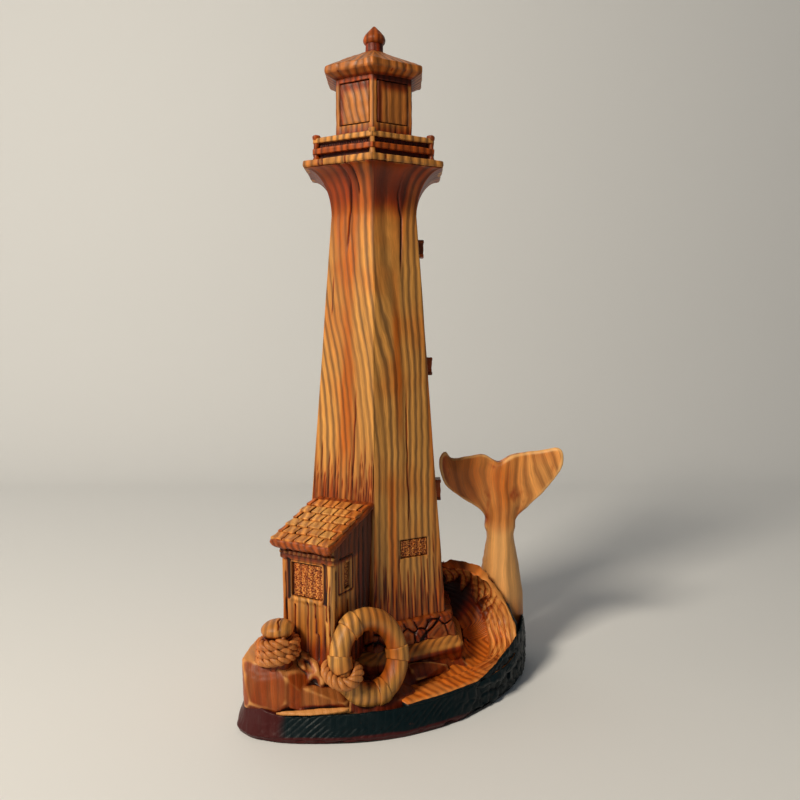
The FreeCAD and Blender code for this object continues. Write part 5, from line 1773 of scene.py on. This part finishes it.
def wave_grid():
    """The wave's skin: over each station a bowl from foot to rim, then the outer wall."""
    rows, across = 260, 74
    inner, rim, outer = (curve_through([station[i] for station in WAVE_STATIONS], rows)
                         for i in range(3))
    hollow = curve_through(WAVE_HOLLOW, rows)[:, None]
    bowl = np.linspace(0, 1, across)[None, :, None]
    face = inner[:, None] + (rim - inner)[:, None] * bowl + hollow * np.sin(bowl * math.pi)
    drop = np.linspace(0, 1, 22)[None, 1:, None]
    bulge = 1.2 * np.sin(drop * math.pi) * unit(outer - inner)[:, None] * (1, 1, 0)
    wall = rim[:, None] + (outer - rim)[:, None] * drop + bulge
    below = np.linspace(0, 1, 14)[None, 1:-1, None]
    under = outer[:, None] + (inner - outer)[:, None] * below
    under = under + (1.25 * hollow + (0, 1.2, -1.5)) * np.sin(below * math.pi)
    grid = np.concatenate([face, wall, under], axis=1)
    place = np.concatenate([bowl[0, :, 0], 1 + drop[0, :, 0], 2 + below[0, :, 0]])
    return grid, np.broadcast_to(place, grid.shape[:2])


def make_wave():
    """The breaking wave: a smooth inner tongue, fluted bowl, foam fingers and rolled rim."""
    grid, place = wave_grid()
    station = np.linspace(0, len(WAVE_STATIONS) - 1, len(grid))[:, None] + 0 * place
    travelled = np.cumsum(np.linalg.norm(np.gradient(grid, axis=0), axis=-1), axis=0)
    travelled = travelled[-1] - travelled
    way = grid_normals(grid)
    bowl = smooth(0.02, 0.1, place) * smooth(1.0, 0.93, place)
    drift = place * 7.5 + 0.22 * station + 0.45 * noise(grid, (11, 11, 11), 61)
    flute = np.abs((drift % 1.0) - 0.35)
    flute = np.where(drift % 1.0 < 0.35, 1 - flute / 0.35, 1 - flute / 0.65)
    zone = smooth(0.40, 0.5, place) * smooth(8.0, 5.6, station)
    strips = noise(np.stack([place * 24, station * 1.3, 0 * place], -1), 1.0, 62)
    crest = smooth(4.4, 2.6, station)
    tooth = np.abs((station * 1.25 + 0.5 * noise(grid, 7.0, 63)) % 1.0 - 0.5) * 2
    foam = smooth(-0.03, 0.03, place - 0.40 - 0.34 * tooth ** 1.3) * crest
    strand = np.abs((station * 2.5 + place * 2.6 + 0.5 * noise(grid, 6.0, 64)) % 1.0 - 0.5) * 2
    push = bowl * zone * (1 - crest) * (1.1 * (flute - 0.8) + 0.6 * strips)
    push += bowl * foam * (1.3 - 1.1 * smooth(0.55, 1.0, strand) + 0.4 * strips)
    step = smooth(0.46, 0.40, place) * smooth(1.2, 2.6, station)
    push += 0.8 * step * bowl
    push += 0.3 * noise(grid, 4.0, 65) + 0.12 * noise(grid, 1.4, 66)
    rim = np.exp(-((place - 1.02) / (0.07 + 0.06 * crest)) ** 2)
    push += (0.7 + 1.3 * crest) * rim * (1 + 0.6 * noise(grid, 3.0, 67))
    outer = smooth(1.1, 1.3, place) * smooth(3.0, 2.9, place)
    push += outer * 0.5 * noise(grid, 3.0, 68)
    grid = grid + way * push[..., None]
    across = smooth(5.6, 7.0, station)
    across = np.maximum(across, step * smooth(3.0, 4.5, station))
    grain = travelled * 0.72 * across + (1 - across) * (place * 24 + 0.16 * travelled)
    # Painted shade: the deep hollow under the crest's curl, beside the tower and in its shadow, is
    # washed dark brown.
    hole = smooth(2.7, 1.3, station) * (1 - 0.75 * foam)
    between_teeth = crest * (1 - foam) * smooth(0.25, 0.5, place)
    wash = np.maximum(0.95 * hole, 0.6 * zone * bowl * (1 - crest) * smooth(0.35, 0.0, flute))
    wash = np.maximum(wash, 0.8 * between_teeth)
    wash = np.maximum(wash, 0.8 * foam * bowl * smooth(0.6, 1.0, strand))
    lip = crest * smooth(0.85, 1.0, place)
    rust = 0.9 * np.maximum(step, 0.8 * smooth(5.5, 7.5, station)) + 0.6 * lip
    rust = rust + 0.35 * smooth(0.0, 0.4, noise(grid, 8.0, 69))
    wear_and_top_light = rim * smooth(1.0, 3.0, station) * 0.9 + bowl * zone * (1 - crest) * smooth(
        0.75, 1.0, flute)
    wear_and_top_light = wear_and_top_light + 0.8 * foam * bowl * smooth(0.5, 0.1, strand)
    paint = smooth(1.06, 1.16, place) * smooth(2.4, 4.2, station + 0.6 * noise(grid, 5.0, 70))
    fields = {"grain": grain, "along": travelled * (1 - across) + across * place * 20,
              "wash": np.clip(wash, 0, 1), "rust": np.clip(rust * (1 - paint), 0, 1),
              "wear_and_top_light": np.clip(wear_and_top_light, 0, 1), "paint": np.clip(paint, 0, 1)}
    return closed_grid("wave_carved", grid, fields)


settle(make_wave(), WAVE, "wave_effect", "wave_bank", "wave_tongue", "wave_crest")


def make_wave_wall():
    """The rough buttress behind the crest.  It stands for the node wave_wall, which is the
    outer side wall; that wall is drawn as a part of make_wave's skin."""
    clay = Clay((24, -44, 8), (76, 32, 50), 0.7)
    clay.add(hull(clay.points,
                  [(28, 18, 46), (42, 19, 44), (52, 19, 38), (60, 17, 29), (64, 15, 20),
                   (66, 14, 12), (28, 18, 12), (28, 26, 40), (44, 27, 35), (58, 25, 27),
                   (64, 24, 18), (28, 27, 12), (66, 26, 12)], 1.2))
    clay.keep(9 - clay.z)

    def look(q):
        # Painted shade: where the buttress lies in the hollow behind the crest it is washed darker.
        hollow = smooth(52, 42, q[:, 0]) * smooth(14, 22, q[:, 2])
        return {"grain": q[:, 0] + q[:, 1], "along": q[:, 2], "rust": 0.6 + 0 * hollow,
                "wash": 0.45 + 0.3 * hollow, "paint": smooth(52, 60, q[:, 0])}

    return clay_piece("wave_wall_carved", clay, look, rock_push, 1.4)


settle(make_wave_wall(), WAVE, "wave_effect", "wave_wall")


# ------------------------------------------------------------------ whale's tail
FLUKES = curve_through([
    (30.3, 100.9), (31.6, 104.4), (33.9, 105.2), (36.7, 101.9), (45, 102.4), (52.8, 102.9),
    (59.7, 99.4), (66.1, 102.4), (72.4, 103.9), (80.2, 105.1), (88.0, 107.0), (90.2, 102.6),
    (88.2, 94.8), (82, 85.8), (75.0, 78), (68.8, 71.6), (67.3, 66), (60.5, 60), (53.9, 66),
    (53.6, 71.8), (50.1, 76.5), (42.2, 81.5), (34.3, 88), (31.3, 94.5)], 150, closed=True)
STEM = [(8, 60.8, 11.6, 11.0), (18, 61.0, 11.7, 11.0), (25, 61.3, 11.6, 10.4),
        (34, 61.4, 11.2, 9.4), (48, 61.4, 8.9, 8.0), (61, 61.2, 6.7, 6.4), (74, 61.4, 5.6, 5.0),
        (86, 61.0, 3.8, 3.2), (97, 60.0, 1.0, 1.6)]
STEM_Y = 13.5


def tail_section(z):
    """The stem's middle and its half sizes at a height."""
    levels = [row[0] for row in STEM]
    return [np.interp(z, levels, [row[i] for row in STEM]) for i in (1, 2, 3)]


def make_tail():
    """The whale's tail: a ridged stem that runs up into two cupped flukes."""
    clay = Clay((26, -2, 9), (94, 30, 109), 0.6)
    x, y, z = clay.x, clay.y, clay.z
    edge = outline_distance(x[:, 0, :], z[:, 0, :], FLUKES)[:, None, :]
    away = np.abs(x - 61.5)
    cup = STEM_Y - 1.0 - 0.011 * np.maximum(away - 3, 0) ** 2
    half = 1.5 + 2.2 * np.exp(-(away / 9) ** 2) + 0.8 * smooth(0, -7, edge)
    fluke = np.maximum(edge, -9) + 0 * y
    sheet = np.abs(y - cup) - half
    corner = np.maximum(fluke + 1.3, 0) ** 2 + np.maximum(sheet + 1.3, 0) ** 2
    blade = np.sqrt(corner) + np.minimum(np.maximum(fluke, sheet) + 1.3, 0) - 1.3
    clay.add(blade)
    middle, wide, deep = tail_section(z)
    front = STEM_Y - 2.2 * smooth(70, 80, z)
    ring = np.sqrt(((x - middle) / wide) ** 2 + ((y - front) / deep) ** 2) - 1
    ridge = 0.10 * np.exp(-((x - middle - 2.0) / 2.5) ** 2) * (y < STEM_Y) * smooth(75, 60, z)
    stem = (ring - ridge) * np.minimum(wide, deep) * 0.85
    clay.add(np.maximum(stem, z - 97), 2.4)
    clay.keep(10 - z)

    def push(q):
        left = smooth(54.5, 53.2, q[:, 0]) * smooth(66, 60, q[:, 2])
        rough = left * noise(q, 2.0, 71)
        nick = 0.7 * smooth(0.35, 0.6, noise(q, (3, 3, 3), 74)) * left
        return 0.3 * noise(q, (5, 5, 12), 72) + 0.08 * noise(q, 1.6, 73) + 0.4 * rough - nick

    def look(q):
        qx, qy, qz = q[:, 0], q[:, 1], q[:, 2]
        middle, wide, _ = tail_section(np.minimum(qz, 74))
        side = (qx - middle) / wide * 7.0
        spread_out = smooth(70, 84, qz)
        lobe = 0.8 * (qx - 61) + 0.10 * np.abs(qx - 61) * (qz - 84) / 8
        grain = side * (1 - spread_out) + spread_out * lobe + 2.2 * noise(q, (14, 9, 22), 75)
        notch = np.exp(-(((qx - 61) / 9) ** 2 + ((qz - 92) / 12) ** 2))
        collar = np.exp(-((qz - 72) / 5.0) ** 2) * smooth(4, 9, np.abs(qx - 62))
        low = smooth(44, 24, qz)
        wash = 0.5 * collar + 0.25 * np.exp(-((qx - 31) / 3.0) ** 2) + 0.3 * smooth(26, 14, qz)
        back = smooth(STEM_Y + 2, STEM_Y + 8, qy)
        shore = smooth(0, 3, 21.0 + 4.5 * smooth(66, 74, qx) + 1.3 * noise(q, 5.0, 77) - qz)
        # Painted shade: the left lobe, which turns away from the light, is washed and stained
        # darker.
        left = smooth(56, 46, qx) * spread_out
        return {"grain": grain, "along": qz, "wash": wash + 0.2 * left,
                "rust": 0.75 * notch + 0.4 * low + 0.3 * back + 0.5 * left,
                "wear_and_top_light": 0.5 * smooth(72, 62, qz) * smooth(22, 34, qz),
                "paint": shore * smooth(66, 70, qx)}

    return clay_piece("whale_tail_carved", clay, look, push, 1.2)


settle(make_tail(), TAIL, "tail_effect", "whale_tail_stem", "whale_flukes")


# ------------------------------------------------------------------ room, light and camera
def make_stage():
    """A pale floor that curves up into a pale wall."""
    turn = np.radians(np.linspace(0, 90, 25))
    front, back, bend, height, half_width = -1.6, 0.45, 0.15, 1.6, 2.5
    sweep = [(back + bend * math.sin(a), bend - bend * math.cos(a)) for a in turn]
    depth = [(front, 0.0)] + sweep + [(back + bend, height)]
    points = [(x, y, z) for x in (-half_width, half_width) for y, z in depth]
    count = len(depth)
    faces = [[i, i + 1, count + i + 1, count + i] for i in range(count - 1)]
    stage = make_mesh("studio_floor", np.array(points) / MM, faces)
    shade = Shade("studio_paper")
    shade.shader.inputs["Base Color"].default_value = srgb(230, 231, 232)
    shade.shader.inputs["Roughness"].default_value = 0.75
    stage.data.materials.append(shade.material)


def area_light(name, place, target, size, power, colour):
    """A soft rectangular light aimed at a point."""
    lamp = bpy.data.lights.new(name, "AREA")
    lamp.shape = "RECTANGLE"
    lamp.size, lamp.size_y = size
    lamp.energy = power
    lamp.color = colour
    light = bpy.data.objects.new(name, lamp)
    bpy.context.scene.collection.objects.link(light)
    light.location = place
    light.rotation_euler = (Vector(target) - Vector(place)).to_track_quat("-Z", "Y").to_euler()


def make_lights():
    """A warm key from the upper left front, a softer light from the left, a dim cool room."""
    aim = (0.0, 0.0, 0.12)
    area_light("key", (-0.60, -0.72, 0.82), aim, (0.28, 0.28), 13.3, (1.0, 0.90, 0.74))
    area_light("side", (-1.1, -0.10, 0.45), aim, (0.6, 0.8), 1.5, (1.0, 0.92, 0.80))
    world = bpy.data.worlds.new("room")
    bpy.context.scene.world = world
    world.use_nodes = True
    sky = world.node_tree.nodes["Background"].inputs
    sky["Color"].default_value = (0.74, 0.86, 1.0, 1)
    sky["Strength"].default_value = 0.095


def make_camera():
    """A phone's wide lens a little above the object's middle, tipped down five degrees."""
    tilt_down = 5.02
    lens = bpy.data.cameras.new("camera")
    lens.lens = 36
    lens.sensor_width = 36
    camera = bpy.data.objects.new("camera", lens)
    bpy.context.scene.collection.objects.link(camera)
    camera.location = (0.01165, -0.3748, 0.1635)
    camera.rotation_euler = (math.radians(90 - tilt_down), 0, 0)
    bpy.context.scene.camera = camera


make_stage()
make_lights()
make_camera()
bpy.context.scene.view_settings.view_transform = "Standard"
